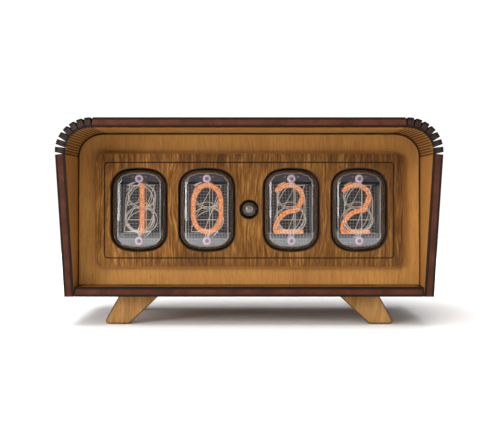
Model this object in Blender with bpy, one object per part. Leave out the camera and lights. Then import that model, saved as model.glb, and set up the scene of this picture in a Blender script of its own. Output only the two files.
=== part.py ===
"""Desk clock with four end-view nixie tubes in a case of bent plywood.

The front faces -Y, up is +Z and the feet rest on Z = 0. Driving sizes are in millimetres; every object
is written in metres. Depths are given from the front face of the front panel, backwards.
"""

import math

import bmesh
import bpy
from mathutils import Vector

MM = 0.001
GAP = 0.3  # clearance between neighbouring pieces

# Plywood case
SHEET = 3.6
WIDTH = 137.0
FEET_HEIGHT = 11.0
TOTAL_HEIGHT = 75.8
BEND_ACROSS = 9.9  # the bent corners are oval inside: reach along the roof
BEND_UP = 8.8  # and down the wall
REAR_EDGE = 58.0
HOOD_BOTTOM = 8.66  # how far the wall reaches in front of the panel at its lower end
HOOD_TOP = 30.9  # and at the roof
PANEL_GAP = 0.3
REAR_PANEL_FRONT = 52.0
FLOOR_TABS = ((10.0, 22.0), (33.0, 45.0))  # where the floor passes through the walls
FOOT_TAB = (37.5, 45.5)  # the part of each foot that passes through the floor
FOOT_DEPTHS = (0.0, 46.0)
BLOCK_X = 58.0
BLOCK_Z = 20.5

# Living hinge of each top corner
SLOTS_OPEN = 8  # slots that run out through the front and rear edges
KERF = 0.25
OPEN_SLOT_OUTSIDE = 0.95
CLOSED_SLOT_OUTSIDE = 0.5
BRIDGE = 3.0
CLOSED_START = 9.0

# Bezel plate
BEZEL_WIDTH = 115.8
BEZEL_HEIGHT = 43.1
BEZEL_MID = 43.0
BEZEL_FRONT = 3.0
BEZEL_RADIUS = 3.2
GROOVE_INSET = 3.4
GROOVE_WIDTH = 0.45
GROOVE_DEPTH = 0.35

# Nixie tubes
TUBE_X = (-41.4, -15.9, 15.9, 41.4)
TUBE_DIGIT = (1, 0, 2, 2)
TUBE_MID = 43.1
OPENING_HALF_W = 10.6
OPENING_HALF_H = 15.65
OPENING_ARC = 24.0
OPENING_FILLET = 6.8
GLASS_INSET = 0.4  # glass outline inside the opening
GLASS_WALL = 0.8
GLASS_FRONT = 5.5
GLASS_BACK = 16.5
SHOULDER = 2.6
ANODE_HALF_W = 7.9
DIGIT_HALF_W = 5.2
DIGIT_HALF_H = 8.8
DIGIT_LIFT = 0.5  # middle of the digits above the middle of the tube
WIRE_WIDTH = 0.5
WIRE_DEPTH = 0.4
STACK_FRONT = 1.6  # first cathode lies this far in front of the panel face
STACK_PITCH = 1.1
STACK_ORDER = (1, 0, 6, 2, 7, 5, 4, 9, 8, 3)
BEAD_Z = 11.8
BEAD_RADIUS = 1.6
PINS = 12
PIN_RADIUS = 0.6
PIN_RING = (6.8, 10.6)

# Neon lamp
LAMP_HOLE = 3.45
LAMP_RADIUS = 3.0
LAMP_MID = 43.3

# Inside
DISPLAY_BOARD = 27.0
MAIN_BOARD = 40.0
BOARD = 1.6
SPACER_X = 55.5
SPACER_Z = (24.7, 61.3)
SWITCH_X = (-38.0, -24.0)
SWITCH_Z = 27.0
JACK_X = 36.0
JACK_Z = 27.0
BUTTON_TRAVEL = 1.0

# Everything is moved so that the middle of the bounding box lies over the origin
Y_SHIFT = -(REAR_EDGE - HOOD_TOP) / 2

PLYWOOD = (0.42, 0.22, 0.085)
PLYWOOD_DARK = (0.26, 0.125, 0.05)
BOARD_GREEN = (0.02, 0.11, 0.055)
BLACK_PLASTIC = (0.02, 0.02, 0.022)
WIRE_STEEL = (0.62, 0.56, 0.52)
CLEAR_GLASS = (0.8, 0.84, 0.86)


# ---------------------------------------------------------------- basic shapes


def clear_scene():
    for thing in list(bpy.data.objects):
        bpy.data.objects.remove(thing, do_unlink=True)


def add_object(name, bm, origin=(0.0, 0.0, 0.0)):
    """Make an object from a bmesh in millimetres, with its origin at the given point."""
    bmesh.ops.recalc_face_normals(bm, faces=bm.faces)
    for vert in bm.verts:
        vert.co = (vert.co - Vector(origin)) * MM
    mesh = bpy.data.meshes.new(name)
    bm.to_mesh(mesh)
    bm.free()
    thing = bpy.data.objects.new(name, mesh)
    shift = Vector((origin[0], origin[1] + Y_SHIFT, origin[2]))
    thing.location = shift * MM
    bpy.context.scene.collection.objects.link(thing)
    return thing


def place(axis, u, v, w):
    """A point on a sheet drawing (u, v) at height w, for a sheet whose normal is the given axis."""
    if axis == "Y":
        return (u, w, v)
    if axis == "X":
        return (w, u, v)
    return (u, v, w)


def sheet_mesh(bm, loops, low, high, axis="Y"):
    """Fill closed outlines (the first is outside, the rest are holes) and extrude the sheet."""
    edges = []
    for loop in loops:
        verts = [bm.verts.new(place(axis, u, v, low)) for u, v in loop]
        for i, vert in enumerate(verts):
            edges.append(bm.edges.new((vert, verts[(i + 1) % len(verts)])))
    filled = bmesh.ops.triangle_fill(bm, edges=edges, use_beauty=True, use_dissolve=False)
    faces = [item for item in filled["geom"] if isinstance(item, bmesh.types.BMFace)]
    made = bmesh.ops.extrude_face_region(bm, geom=faces)
    moved = [item for item in made["geom"] if isinstance(item, bmesh.types.BMVert)]
    bmesh.ops.translate(bm, verts=moved, vec=Vector(place(axis, 0.0, 0.0, high - low)))


def sheet(name, loops, low, high, axis="Y", origin=(0.0, 0.0, 0.0)):
    bm = bmesh.new()
    sheet_mesh(bm, loops, low, high, axis)
    return add_object(name, bm, origin)


def box(name, low, high, origin=(0.0, 0.0, 0.0)):
    outline = [(low[0], low[2]), (high[0], low[2]), (high[0], high[2]), (low[0], high[2])]
    return sheet(name, [outline], low[1], high[1], "Y", origin)


def turned(name, profile, centre, sides, origin=(0.0, 0.0, 0.0)):
    """Turn a closed profile of (radius, y) points round an axis along Y through centre (x, z).

    A radius of zero makes a point on the axis.
    """
    bm = bmesh.new()
    rings = []
    for radius, y in profile:
        if radius == 0.0:
            rings.append([bm.verts.new((centre[0], y, centre[1]))])
            continue
        ring = []
        for i in range(sides):
            angle = 2.0 * math.pi * (i + 0.5) / sides
            x = centre[0] + radius * math.cos(angle)
            z = centre[1] + radius * math.sin(angle)
            ring.append(bm.verts.new((x, y, z)))
        rings.append(ring)
    for a, b in zip(rings, rings[1:] + rings[:1]):
        if len(a) == 1 and len(b) == 1:
            continue
        for i in range(sides):
            j = (i + 1) % sides
            if len(a) == 1:
                bm.faces.new((a[0], b[i], b[j]))
            elif len(b) == 1:
                bm.faces.new((a[i], a[j], b[0]))
            else:
                bm.faces.new((a[i], a[j], b[j], b[i]))
    return add_object(name, bm, origin)


def combine(target, others, operation):
    """Join or cut the target with other objects, which are used up."""
    for other in others:
        step = target.modifiers.new("step", "BOOLEAN")
        step.operation = operation
        step.solver = "EXACT"
        step.object = other
    graph = bpy.context.evaluated_depsgraph_get()
    graph.update()
    mesh = bpy.data.meshes.new_from_object(target.evaluated_get(graph))
    target.modifiers.clear()
    target.data = mesh
    for other in others:
        bpy.data.objects.remove(other, do_unlink=True)
    return target


def finish(thing, colour, roughness, metallic=0.0, smooth=False, glow=None):
    """Give the object its own material, and smooth shading if it is round."""
    material = bpy.data.materials.new(thing.name)
    material.use_nodes = True
    shader = material.node_tree.nodes["Principled BSDF"]
    shader.inputs["Base Color"].default_value = (*colour, 1.0)
    shader.inputs["Roughness"].default_value = roughness
    shader.inputs["Metallic"].default_value = metallic
    if glow:
        shader.inputs["Emission Color"].default_value = (*glow, 1.0)
        shader.inputs["Emission Strength"].default_value = 3.0
    thing.data.materials.clear()
    thing.data.materials.append(material)
    for face in thing.data.polygons:
        face.use_smooth = smooth
    return thing


# -------------------------------------------------------------------- outlines


def arc(cx, cz, rx, rz, start, end, steps):
    """Points on an elliptical arc, angles in degrees."""
    points = []
    for i in range(steps + 1):
        angle = math.radians(start + (end - start) * i / steps)
        points.append((cx + rx * math.cos(angle), cz + rz * math.sin(angle)))
    return points


def rounded(low_x, high_x, low_z, high_z, radii, steps):
    """A rectangle with its own radius at each corner: lower right, upper right, upper left, lower left."""
    corners = ((high_x, low_z, -90.0), (high_x, high_z, 0.0), (low_x, high_z, 90.0), (low_x, low_z, 180.0))
    points = []
    for (x, z, start), radius in zip(corners, radii):
        if radius == 0.0:
            points.append((x, z))
            continue
        cx = x - radius if x == high_x else x + radius
        cz = z - radius if z == high_z else z + radius
        points += arc(cx, cz, radius, radius, start, start + 90.0, steps)
    return points


def circle(cx, cz, radius, sides):
    """A circle outline whose corners match those of a turned piece with the same number of sides."""
    turn = 180.0 / sides
    return arc(cx, cz, radius, radius, turn, turn + 360.0, sides)[:-1]


def tube_outline(cx, cz, inset, arc_steps=6, fillet_steps=2):
    """The rounded upright shape shared by the tube, its opening and its socket."""
    half_w = OPENING_HALF_W - inset
    half_h = OPENING_HALF_H - inset
    big = OPENING_ARC - inset
    small = max(OPENING_FILLET - inset, 0.6)
    fillet_x = half_w - small
    arc_z = half_h - big
    fillet_z = arc_z + math.sqrt((big - small) ** 2 - fillet_x**2)
    lean = math.degrees(math.atan2(fillet_z - arc_z, fillet_x))
    upper = arc(fillet_x, fillet_z, small, small, 0.0, lean, fillet_steps)
    upper += arc(0.0, arc_z, big, big, lean, 180.0 - lean, arc_steps)[1:-1]
    upper += arc(-fillet_x, fillet_z, small, small, 180.0 - lean, 180.0, fillet_steps)
    lower = [(-x, -z) for x, z in upper]
    return [(cx + x, cz + z) for x, z in upper + lower]


def ribbon_loops(points, closed, width):
    """Outlines of a stroke of constant width along a line of points."""
    count = len(points)
    left = []
    right = []
    for i, point in enumerate(points):
        here = Vector(point)
        before = Vector(points[i - 1]) if closed or i > 0 else None
        after = Vector(points[(i + 1) % count]) if closed or i < count - 1 else None
        into = (here - before).normalized() if before is not None else None
        out = (after - here).normalized() if after is not None else None
        into = into if into is not None else out
        out = out if out is not None else into
        normal_in = Vector((-into.y, into.x))
        normal_out = Vector((-out.y, out.x))
        mitre = (normal_in + normal_out).normalized()
        reach = width / 2.0 / max(mitre.dot(normal_in), 0.45)
        left.append(tuple(here + mitre * reach))
        right.append(tuple(here - mitre * reach))
    if closed:
        return [left, right]
    return [left + right[::-1]]


# ---------------------------------------------------------------------- digits


def digit_strokes(digit, detail=1):
    """Centre lines of one cathode, as (points, closed) pairs, about the middle of the tube."""
    w = DIGIT_HALF_W
    low = DIGIT_LIFT - DIGIT_HALF_H
    high = DIGIT_LIFT + DIGIT_HALF_H
    n = detail
    strokes = {}
    top = arc(0.0, high - 6.2, w, 6.2, 0.0, 180.0, 4 * n)
    bottom = arc(0.0, low + 6.2, w, 6.2, 180.0, 360.0, 4 * n)
    strokes[0] = [(top + bottom, True)]
    strokes[1] = [([(1.0, low), (1.0, high)], False)]
    hook = arc(-0.9, high - 4.4, w, 4.4, 148.0, -30.0, 5 * n)
    sweep = arc(1.6, low, 7.6, 8.0, 85.0, 180.0, 4 * n)
    strokes[2] = [(hook + sweep + [(4.0, low)], False)]
    upper = arc(0.0, 5.2, w - 0.3, 4.5, 160.0, -75.0, 4 * n)
    lower = arc(0.0, -4.0, w + 0.7, 5.0, 80.0, -160.0, 4 * n)
    strokes[3] = [(upper + lower, False)]
    strokes[4] = [([(1.9, low), (1.9, high), (-w, -3.9), (4.8, -3.9)], False)]
    start = [(w - 0.7, high), (0.8 - w, high), (0.2 - w, 1.6)]
    strokes[5] = [(start + arc(-0.2, low + 5.6, w, 5.6, 110.0, -155.0, 5 * n), False)]
    bowl = arc(0.0, -3.8, w + 0.4, 4.9, 0.0, 360.0, 7 * n)[:-1]
    strokes[6] = [(bowl, True), (arc(0.6, -3.8, w + 1.0, 12.9, 180.0, 75.0, 3 * n), False)]
    strokes[7] = [([(-w, high), (w, high), (-1.2, low)], False)]
    upper = arc(0.1, 5.4, w, 4.4, 0.0, 360.0, 6 * n)[:-1]
    lower = arc(0.0, -4.1, w + 0.8, 5.0, 0.0, 360.0, 7 * n)[:-1]
    strokes[8] = [(upper, True), (lower, True)]
    bowl = arc(0.1, 4.9, w, 4.7, 0.0, 360.0, 7 * n)[:-1]
    strokes[9] = [(bowl, True), (arc(-0.6, 4.9, w + 0.7, 13.2, 0.0, -105.0, 3 * n), False)]
    return strokes[digit]


def digit_depth(digit):
    """Middle of the layer that a digit lies in."""
    return -STACK_FRONT + STACK_PITCH * STACK_ORDER.index(digit)


def digit_reach(digit, side):
    """A point of the digit from which a tab can run straight to the bead on the given side."""
    points = [point for stroke, _ in digit_strokes(digit) for point in stroke]
    return min(points, key=lambda point: abs(point[1] - side * DIGIT_HALF_H) + 0.3 * abs(point[0]))


def digit_parts(name, digit, centre_x, tab_end):
    """Flat strokes of one cathode and the tabs that lead from it towards the two beads."""
    pieces = []
    depth = digit_depth(digit)
    for number, (points, closed) in enumerate(digit_strokes(digit)):
        moved = [(centre_x + x, TUBE_MID + z) for x, z in points]
        loops = ribbon_loops(moved, closed, WIRE_WIDTH)
        half = WIRE_DEPTH / 2.0
        pieces.append(sheet(f"{name}_{digit}_{number}", loops, depth - half, depth + half))
    for side in (-1.0, 1.0):
        x, z = digit_reach(digit, side)
        inner_end = (centre_x + x, TUBE_MID + z - 0.15 * side)
        line = [inner_end, (centre_x + 0.35 * x, TUBE_MID + side * tab_end)]
        loops = ribbon_loops(line, False, WIRE_WIDTH * 0.9)
        half = WIRE_DEPTH / 2.0 - 0.04
        pieces.append(sheet(f"{name}_{digit}_tab_{side}", loops, depth - half, depth + half))
    return pieces


# ------------------------------------------------------------------------ case


def hood_front(z):
    """Depth of the slanted front edge of the wrap at height z (outside surface)."""
    slope = (HOOD_TOP - HOOD_BOTTOM) / (TOTAL_HEIGHT - FEET_HEIGHT)
    return -(HOOD_BOTTOM + slope * (z - FEET_HEIGHT))


def hinge_columns():
    """Angles at which the columns of one bent corner begin, and what lies between them.

    Returns (inside angle, outside angle) pairs in radians from the wall up to the roof, and the kind of
    each column: strip, open slot or closed slot.
    """
    pitch = math.pi / 2.0 / (SLOTS_OPEN - 1)
    inner = (BEND_ACROSS + BEND_UP) / 2.0
    outer = inner + SHEET
    slots = []
    for i in range(SLOTS_OPEN):
        slots.append((i * pitch, "open", OPEN_SLOT_OUTSIDE))
        if i < SLOTS_OPEN - 1:
            slots.append(((i + 0.5) * pitch, "closed", CLOSED_SLOT_OUTSIDE))
    angles = []
    kinds = []
    for centre, kind, mouth in slots:
        half_in = KERF / 2.0 / inner
        half_out = mouth / 2.0 / outer
        kinds += [kind, "strip"]
        angles += [(centre - half_in, centre - half_out), (centre + half_in, centre + half_out)]
    return angles, kinds[:-1]


def wrap_section():
    """Section of the wrap from the left foot over the roof to the right: boundaries and column kinds."""
    outer_x = WIDTH / 2.0
    inner_x = outer_x - SHEET
    bend_z = TOTAL_HEIGHT - SHEET - BEND_UP
    bend_x = inner_x - BEND_ACROSS
    angles, kinds = hinge_columns()
    half = [((-inner_x, FEET_HEIGHT), (-outer_x, FEET_HEIGHT))]
    for inside, outside in angles:
        inner = (-bend_x - BEND_ACROSS * math.cos(inside), bend_z + BEND_UP * math.sin(inside))
        across = BEND_ACROSS + SHEET
        up = BEND_UP + SHEET
        outer = (-bend_x - across * math.cos(outside), bend_z + up * math.sin(outside))
        half.append((inner, outer))
    mirrored = [((-a[0], a[1]), (-b[0], b[1])) for a, b in reversed(half)]
    left_kinds = ["strip"] + kinds
    return half + mirrored, left_kinds + ["strip"] + left_kinds[::-1]


def wrap_rows():
    """Fractions of the depth at which slots begin and end, and which rows each kind of slot fills."""
    depth = REAR_EDGE + HOOD_TOP
    third = depth / 3.0
    middle = depth / 2.0
    marks = [
        0.0,
        CLOSED_START,
        third - BRIDGE / 2.0,
        third + BRIDGE / 2.0,
        middle - BRIDGE / 2.0,
        middle + BRIDGE / 2.0,
        2.0 * third - BRIDGE / 2.0,
        2.0 * third + BRIDGE / 2.0,
        depth - CLOSED_START,
        depth,
    ]
    solid = {"strip": set(range(9)), "open": {2, 6}, "closed": {0, 4, 8}}
    return [mark / depth for mark in marks], solid


def make_wrap():
    section, kinds = wrap_section()
    rows, solid = wrap_rows()
    bm = bmesh.new()
    grid = []
    for inner, outer in section:
        front = hood_front(outer[1])
        line = []
        for share in rows:
            y = front + share * (REAR_EDGE - front)
            line.append((bm.verts.new((inner[0], y, inner[1])), bm.verts.new((outer[0], y, outer[1]))))
        grid.append(line)
    columns = len(kinds)

    def filled(column, row):
        inside = 0 <= column < columns and 0 <= row < len(rows) - 1
        return inside and row in solid[kinds[column]]

    for c in range(columns):
        for r in range(len(rows) - 1):
            if not filled(c, r):
                continue
            a, b = grid[c][r], grid[c + 1][r]
            d, e = grid[c][r + 1], grid[c + 1][r + 1]
            bm.faces.new((a[0], b[0], e[0], d[0]))
            bm.faces.new((a[1], d[1], e[1], b[1]))
            if not filled(c - 1, r):
                bm.faces.new((a[0], d[0], d[1], a[1]))
            if not filled(c + 1, r):
                bm.faces.new((b[0], b[1], e[1], e[0]))
            if not filled(c, r - 1):
                bm.faces.new((a[0], a[1], b[1], b[0]))
            if not filled(c, r + 1):
                bm.faces.new((d[0], e[0], e[1], d[1]))
    loose = [vert for vert in bm.verts if not vert.link_faces]
    bmesh.ops.delete(bm, geom=loose, context="VERTS")
    wrap = add_object("case_wrap", bm)
    cutters = []
    for side in (-1.0, 1.0):
        near = side * (WIDTH / 2.0 - SHEET - 1.0)
        far = side * (WIDTH / 2.0 + 1.0)
        xs = (min(near, far), max(near, far))
        for start, end in FLOOR_TABS:
            low = (xs[0], start - GAP, FEET_HEIGHT - 1.0)
            high = (xs[1], end + GAP, FEET_HEIGHT + SHEET + GAP)
            cutters.append(box("notch", low, high))
    return combine(wrap, cutters, "DIFFERENCE")


def make_floor():
    half = WIDTH / 2.0 - SHEET - GAP
    tip = WIDTH / 2.0
    right = [(half, -HOOD_BOTTOM)]
    for start, end in FLOOR_TABS:
        right += [(half, start), (tip, start), (tip, end), (half, end)]
    right.append((half, REAR_EDGE))
    left = [(-x, y) for x, y in reversed(right)]
    loops = [right + left]
    for y in FOOT_DEPTHS:
        for side in (-1.0, 1.0):
            a = side * FOOT_TAB[0] - side * GAP
            b = side * FOOT_TAB[1] + side * GAP
            slot = [(a, y - GAP), (b, y - GAP), (b, y + SHEET + GAP), (a, y + SHEET + GAP)]
            loops.append(slot)
    return sheet("floor_plate", loops, FEET_HEIGHT, FEET_HEIGHT + SHEET, "Z")


def panel_outline(gap):
    """Outline of an upright panel inside the wrap."""
    half = WIDTH / 2.0 - SHEET - gap
    low = FEET_HEIGHT + SHEET + GAP
    high = TOTAL_HEIGHT - SHEET - gap
    across = BEND_ACROSS - gap
    up = BEND_UP - gap
    right = [(half, low)]
    right += arc(half - across, high - up, across, up, 0.0, 90.0, 6)
    return right + [(-x, z) for x, z in reversed(right)]


def make_front_panel():
    loops = [panel_outline(PANEL_GAP)]
    for x in TUBE_X:
        loops.append(tube_outline(x, TUBE_MID, 0.0))
    loops.append(circle(0.0, LAMP_MID, LAMP_HOLE, 16))
    for z in SPACER_Z:
        for side in (-1.0, 1.0):
            loops.append(circle(side * SPACER_X, z, 1.6, 8))
    return sheet("front_panel", loops, 0.0, SHEET)


def make_bezel():
    half_w = BEZEL_WIDTH / 2.0
    low = BEZEL_MID - BEZEL_HEIGHT / 2.0
    high = BEZEL_MID + BEZEL_HEIGHT / 2.0
    loops = [rounded(-half_w, half_w, low, high, [BEZEL_RADIUS] * 4, 4)]
    for x in TUBE_X:
        loops.append(tube_outline(x, TUBE_MID, 0.0))
    loops.append(circle(0.0, LAMP_MID, LAMP_HOLE, 16))
    plate = sheet("bezel_plate", loops, -BEZEL_FRONT, -GAP)
    inner = GROOVE_INSET + GROOVE_WIDTH
    ring = []
    for inset, radius in ((GROOVE_INSET, 1.8), (inner, 1.4)):
        ring.append(rounded(inset - half_w, half_w - inset, low + inset, high - inset, [radius] * 4, 3))
    groove = sheet("groove", ring, -BEZEL_FRONT - 0.5, -BEZEL_FRONT + GROOVE_DEPTH)
    return combine(plate, [groove], "DIFFERENCE")


def make_rear_panel():
    loops = [panel_outline(PANEL_GAP)]
    loops.append(circle(JACK_X, JACK_Z, 4.6, 16))
    for x in SWITCH_X:
        loops.append(circle(x, SWITCH_Z, 2.6, 12))
    for side in (-1.0, 1.0):
        loops.append(circle(side * BLOCK_X, BLOCK_Z, 1.7, 8))
    for i in range(7):
        x = (i - 3) * 6.0
        loops.append(rounded(x - 1.0, x + 1.0, 46.0, 60.0, [0.9] * 4, 1))
    return sheet("rear_panel", loops, REAR_PANEL_FRONT, REAR_PANEL_FRONT + SHEET)


def make_blocks():
    for side, word in ((-1.0, "left"), (1.0, "right")):
        low = FEET_HEIGHT + SHEET + GAP
        outline = rounded(BLOCK_X - 6.0, BLOCK_X + 6.0, low, low + 11.0, [0.0] * 4, 1)
        hole = circle(BLOCK_X, BLOCK_Z, 1.6, 8)
        loops = [[(side * x, z) for x, z in outline], [(side * x, z) for x, z in hole]]
        block = sheet(f"corner_block_{word}", loops, 41.0, REAR_PANEL_FRONT - GAP)
        finish(block, PLYWOOD, 0.7)
        back = REAR_PANEL_FRONT + SHEET
        profile = [
            (0.0, 44.0),
            (1.3, 45.5),
            (1.3, back + GAP),
            (2.7, back + GAP),
            (2.7, back + 1.0),
            (1.9, back + 1.9),
            (0.0, back + 1.9),
        ]
        screw = turned(f"rear_screw_{word}", profile, (side * BLOCK_X, BLOCK_Z), 12)
        slots = []
        for half_x, half_z in ((1.5, 0.3), (0.3, 1.5)):
            low_corner = (side * BLOCK_X - half_x, back + 1.1, BLOCK_Z - half_z)
            high_corner = (side * BLOCK_X + half_x, back + 3.0, BLOCK_Z + half_z)
            slots.append(box("recess", low_corner, high_corner))
        combine(screw, slots, "DIFFERENCE")
        finish(screw, (0.45, 0.42, 0.38), 0.35, 1.0)


def make_feet():
    for y, end in zip(FOOT_DEPTHS, ("front", "rear")):
        for side, word in ((-1.0, "left"), (1.0, "right")):
            top = FEET_HEIGHT - GAP
            tab_top = FEET_HEIGHT + SHEET - GAP
            outline = [(34.0, top), (45.4, 0.0)]
            outline += arc(53.3, 1.0, 1.0, 1.0, -90.0, 20.0, 3)
            outline += [(49.2, top), (FOOT_TAB[1], top), (FOOT_TAB[1], tab_top)]
            outline += [(FOOT_TAB[0], tab_top), (FOOT_TAB[0], top)]
            origin = (side * 44.0, y, 0.0)
            loops = [[(side * x, z) for x, z in outline]]
            foot = sheet(f"foot_{end}_{word}", loops, y, y + SHEET, "Y", origin)
            finish(foot, PLYWOOD, 0.6)


# ----------------------------------------------------------------------- tubes


def make_glass(number, x):
    """The envelope: a cup with rounded shoulders, open at the back."""
    bm = bmesh.new()
    steps = [(GLASS_INSET, GLASS_BACK), (GLASS_INSET, SHOULDER - GLASS_FRONT)]
    slant = SHOULDER * 0.75
    for angle in (35.0, 65.0):
        turn = math.radians(angle)
        depth = SHOULDER * (1.0 - math.sin(turn)) - GLASS_FRONT
        steps.append((GLASS_INSET + slant * (1.0 - math.cos(turn)), depth))
    steps.append((GLASS_INSET + slant, -GLASS_FRONT))
    inner = GLASS_INSET + GLASS_WALL
    steps.append((inner + SHOULDER * 0.6, GLASS_WALL - GLASS_FRONT))
    steps.append((inner, SHOULDER - GLASS_FRONT))
    steps.append((inner, GLASS_BACK))
    rings = []
    for inset, y in steps:
        outline = tube_outline(x, TUBE_MID, inset)
        rings.append([bm.verts.new((u, y, v)) for u, v in outline])
    count = len(rings[0])
    face_outer = 4
    for index, (a, b) in enumerate(zip(rings, rings[1:] + rings[:1])):
        if index == face_outer:
            bm.faces.new(a)
            bm.faces.new(b[::-1])
            continue
        for i in range(count):
            j = (i + 1) % count
            bm.faces.new((a[i], a[j], b[j], b[i]))
    glass = add_object(f"tube_{number}_glass", bm, (x, 0.0, TUBE_MID))
    return finish(glass, CLEAR_GLASS, 0.05, 0.0, True)


def make_anode(number, x):
    """Front mesh with side flanges that reach back round the stack of digits."""
    front = -2.9
    half_w = ANODE_HALF_W
    corner = [(half_w, 10.6), (6.2, 12.9), (3.0, 13.9)]
    outline = [(u, -v) for u, v in corner[::-1]] + corner
    outline += [(-u, v) for u, v in corner[::-1]] + [(-u, -v) for u, v in corner]
    loops = [[(x + u, TUBE_MID + v) for u, v in outline]]
    columns = 4
    rows = 5
    pitch_x = 2.0 * (half_w - 0.3) / columns
    pitch_z = 19.2 / rows
    bar = 0.16
    for i in range(columns):
        for j in range(rows):
            u = x - half_w + 0.3 + i * pitch_x
            v = TUBE_MID - 9.6 + j * pitch_z
            far_u = u + pitch_x - bar
            far_v = v + pitch_z - bar
            loops.append([(u + bar, v + bar), (far_u, v + bar), (far_u, far_v), (u + bar, far_v)])
    for side in (-1.0, 1.0):
        loops.append(circle(x, TUBE_MID + side * BEAD_Z, BEAD_RADIUS + GAP, 8))
    anode = sheet(f"tube_{number}_anode", loops, front, front + 0.3, "Y", (x, 0.0, TUBE_MID))
    flanges = []
    for side in (-1.0, 1.0):
        u = (x + side * (half_w - 0.3), x + side * half_w)
        flanges.append(box("flange", (min(u), front + 0.15, TUBE_MID - 8.0), (max(u), 10.5, TUBE_MID + 8.0)))
    combine(anode, flanges, "UNION")
    return finish(anode, WIRE_STEEL, 0.4, 1.0)


def make_cathodes(number, x, lit):
    """Nine unlit digits joined by the two bead columns, and the lit digit as its own piece."""
    beads = []
    for side in (-1.0, 1.0):
        profile = [(0.0, -3.6), (1.1, -3.6), (BEAD_RADIUS, -3.1), (BEAD_RADIUS, 13.6), (0.0, 13.6)]
        beads.append(turned(f"bead_{number}_{side}", profile, (x, TUBE_MID + side * BEAD_Z), 8))
    parts = []
    for digit in STACK_ORDER:
        if digit != lit:
            parts += digit_parts(f"wire_{number}", digit, x, BEAD_Z - BEAD_RADIUS + 0.5)
    stack = beads[0]
    stack.name = f"tube_{number}_cathodes"
    combine(stack, beads[1:] + parts, "UNION")
    set_origin(stack, (x, 0.0, TUBE_MID))
    finish(stack, (0.66, 0.6, 0.58), 0.45, 0.3)
    shown = digit_parts(f"lit_{number}", lit, x, BEAD_Z - BEAD_RADIUS - GAP)
    glow = shown[0]
    glow.name = f"tube_{number}_digit"
    combine(glow, shown[1:], "UNION")
    set_origin(glow, (x, digit_depth(lit), TUBE_MID))
    finish(glow, (0.95, 0.42, 0.18), 0.5, 0.0, False, (1.0, 0.28, 0.08))


def set_origin(thing, point):
    """Move the origin to a point in millimetres without moving the shape."""
    target = Vector((point[0], point[1] + Y_SHIFT, point[2])) * MM
    shift = target - thing.location
    for vert in thing.data.vertices:
        vert.co -= shift
    thing.location = target


def pin_places(x):
    places = []
    for i in range(PINS):
        angle = math.radians(15.0 + 360.0 / PINS * i)
        places.append((x + PIN_RING[0] * math.cos(angle), TUBE_MID + PIN_RING[1] * math.sin(angle)))
    return places


def make_base_and_socket(number, x):
    outline = tube_outline(x, TUBE_MID, GLASS_INSET + GLASS_WALL + GAP, 4, 1)
    base = sheet(f"tube_{number}_base", [outline], 14.0, GLASS_BACK - 0.2, "Y", (x, 0.0, TUBE_MID))
    pins = []
    for i, place_at in enumerate(pin_places(x)):
        profile = [(0.0, 15.5), (PIN_RADIUS, 15.5), (PIN_RADIUS, 24.5), (0.0, 24.5)]
        pins.append(turned(f"pin_{number}_{i}", profile, place_at, 6))
    combine(base, pins, "UNION")
    finish(base, (0.55, 0.56, 0.55), 0.25)
    loops = [tube_outline(x, TUBE_MID, 0.9, 4, 1)]
    for place_at in pin_places(x):
        loops.append(circle(place_at[0], place_at[1], (PIN_RADIUS + GAP) * 1.42, 4))
    socket = sheet(f"tube_{number}_socket", loops, 18.5, DISPLAY_BOARD - GAP, "Y", (x, 0.0, TUBE_MID))
    finish(socket, BLACK_PLASTIC, 0.5)


def make_lamp():
    radius = LAMP_RADIUS
    wall = 0.55
    nose = []
    inside = []
    for angle in (90.0, 62.0, 34.0, 0.0):
        turn = math.radians(angle)
        nose.append((radius * math.cos(turn) if angle < 90.0 else 0.0, -1.2 - 3.0 * math.sin(turn)))
        bore = radius - wall
        inside.append((bore * math.cos(turn) if angle < 90.0 else 0.0, -1.2 - (3.0 - wall) * math.sin(turn)))
    profile = nose + [(radius, 21.0), (radius - wall, 21.0)] + inside[::-1]
    glass = turned("lamp_glass", profile, (0.0, LAMP_MID), 16)
    finish(glass, CLEAR_GLASS, 0.05, 0.0, True)
    profile = [(0.0, -1.4), (1.75, -1.4), (1.75, -0.8), (0.5, -0.8), (0.5, 23.5), (0.0, 23.5)]
    cathode = turned("lamp_cathode", profile, (0.0, LAMP_MID), 12)
    finish(cathode, WIRE_STEEL, 0.4, 1.0, True)
    end = DISPLAY_BOARD - GAP
    profile = [(radius + GAP, 17.0), (4.8, 17.0), (4.8, end), (0.9, end), (0.9, 22.0), (radius + GAP, 22.0)]
    holder = turned("lamp_holder", profile, (0.0, LAMP_MID), 16)
    finish(holder, BLACK_PLASTIC, 0.5, 0.0, True)


# ---------------------------------------------------------------------- inside


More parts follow.
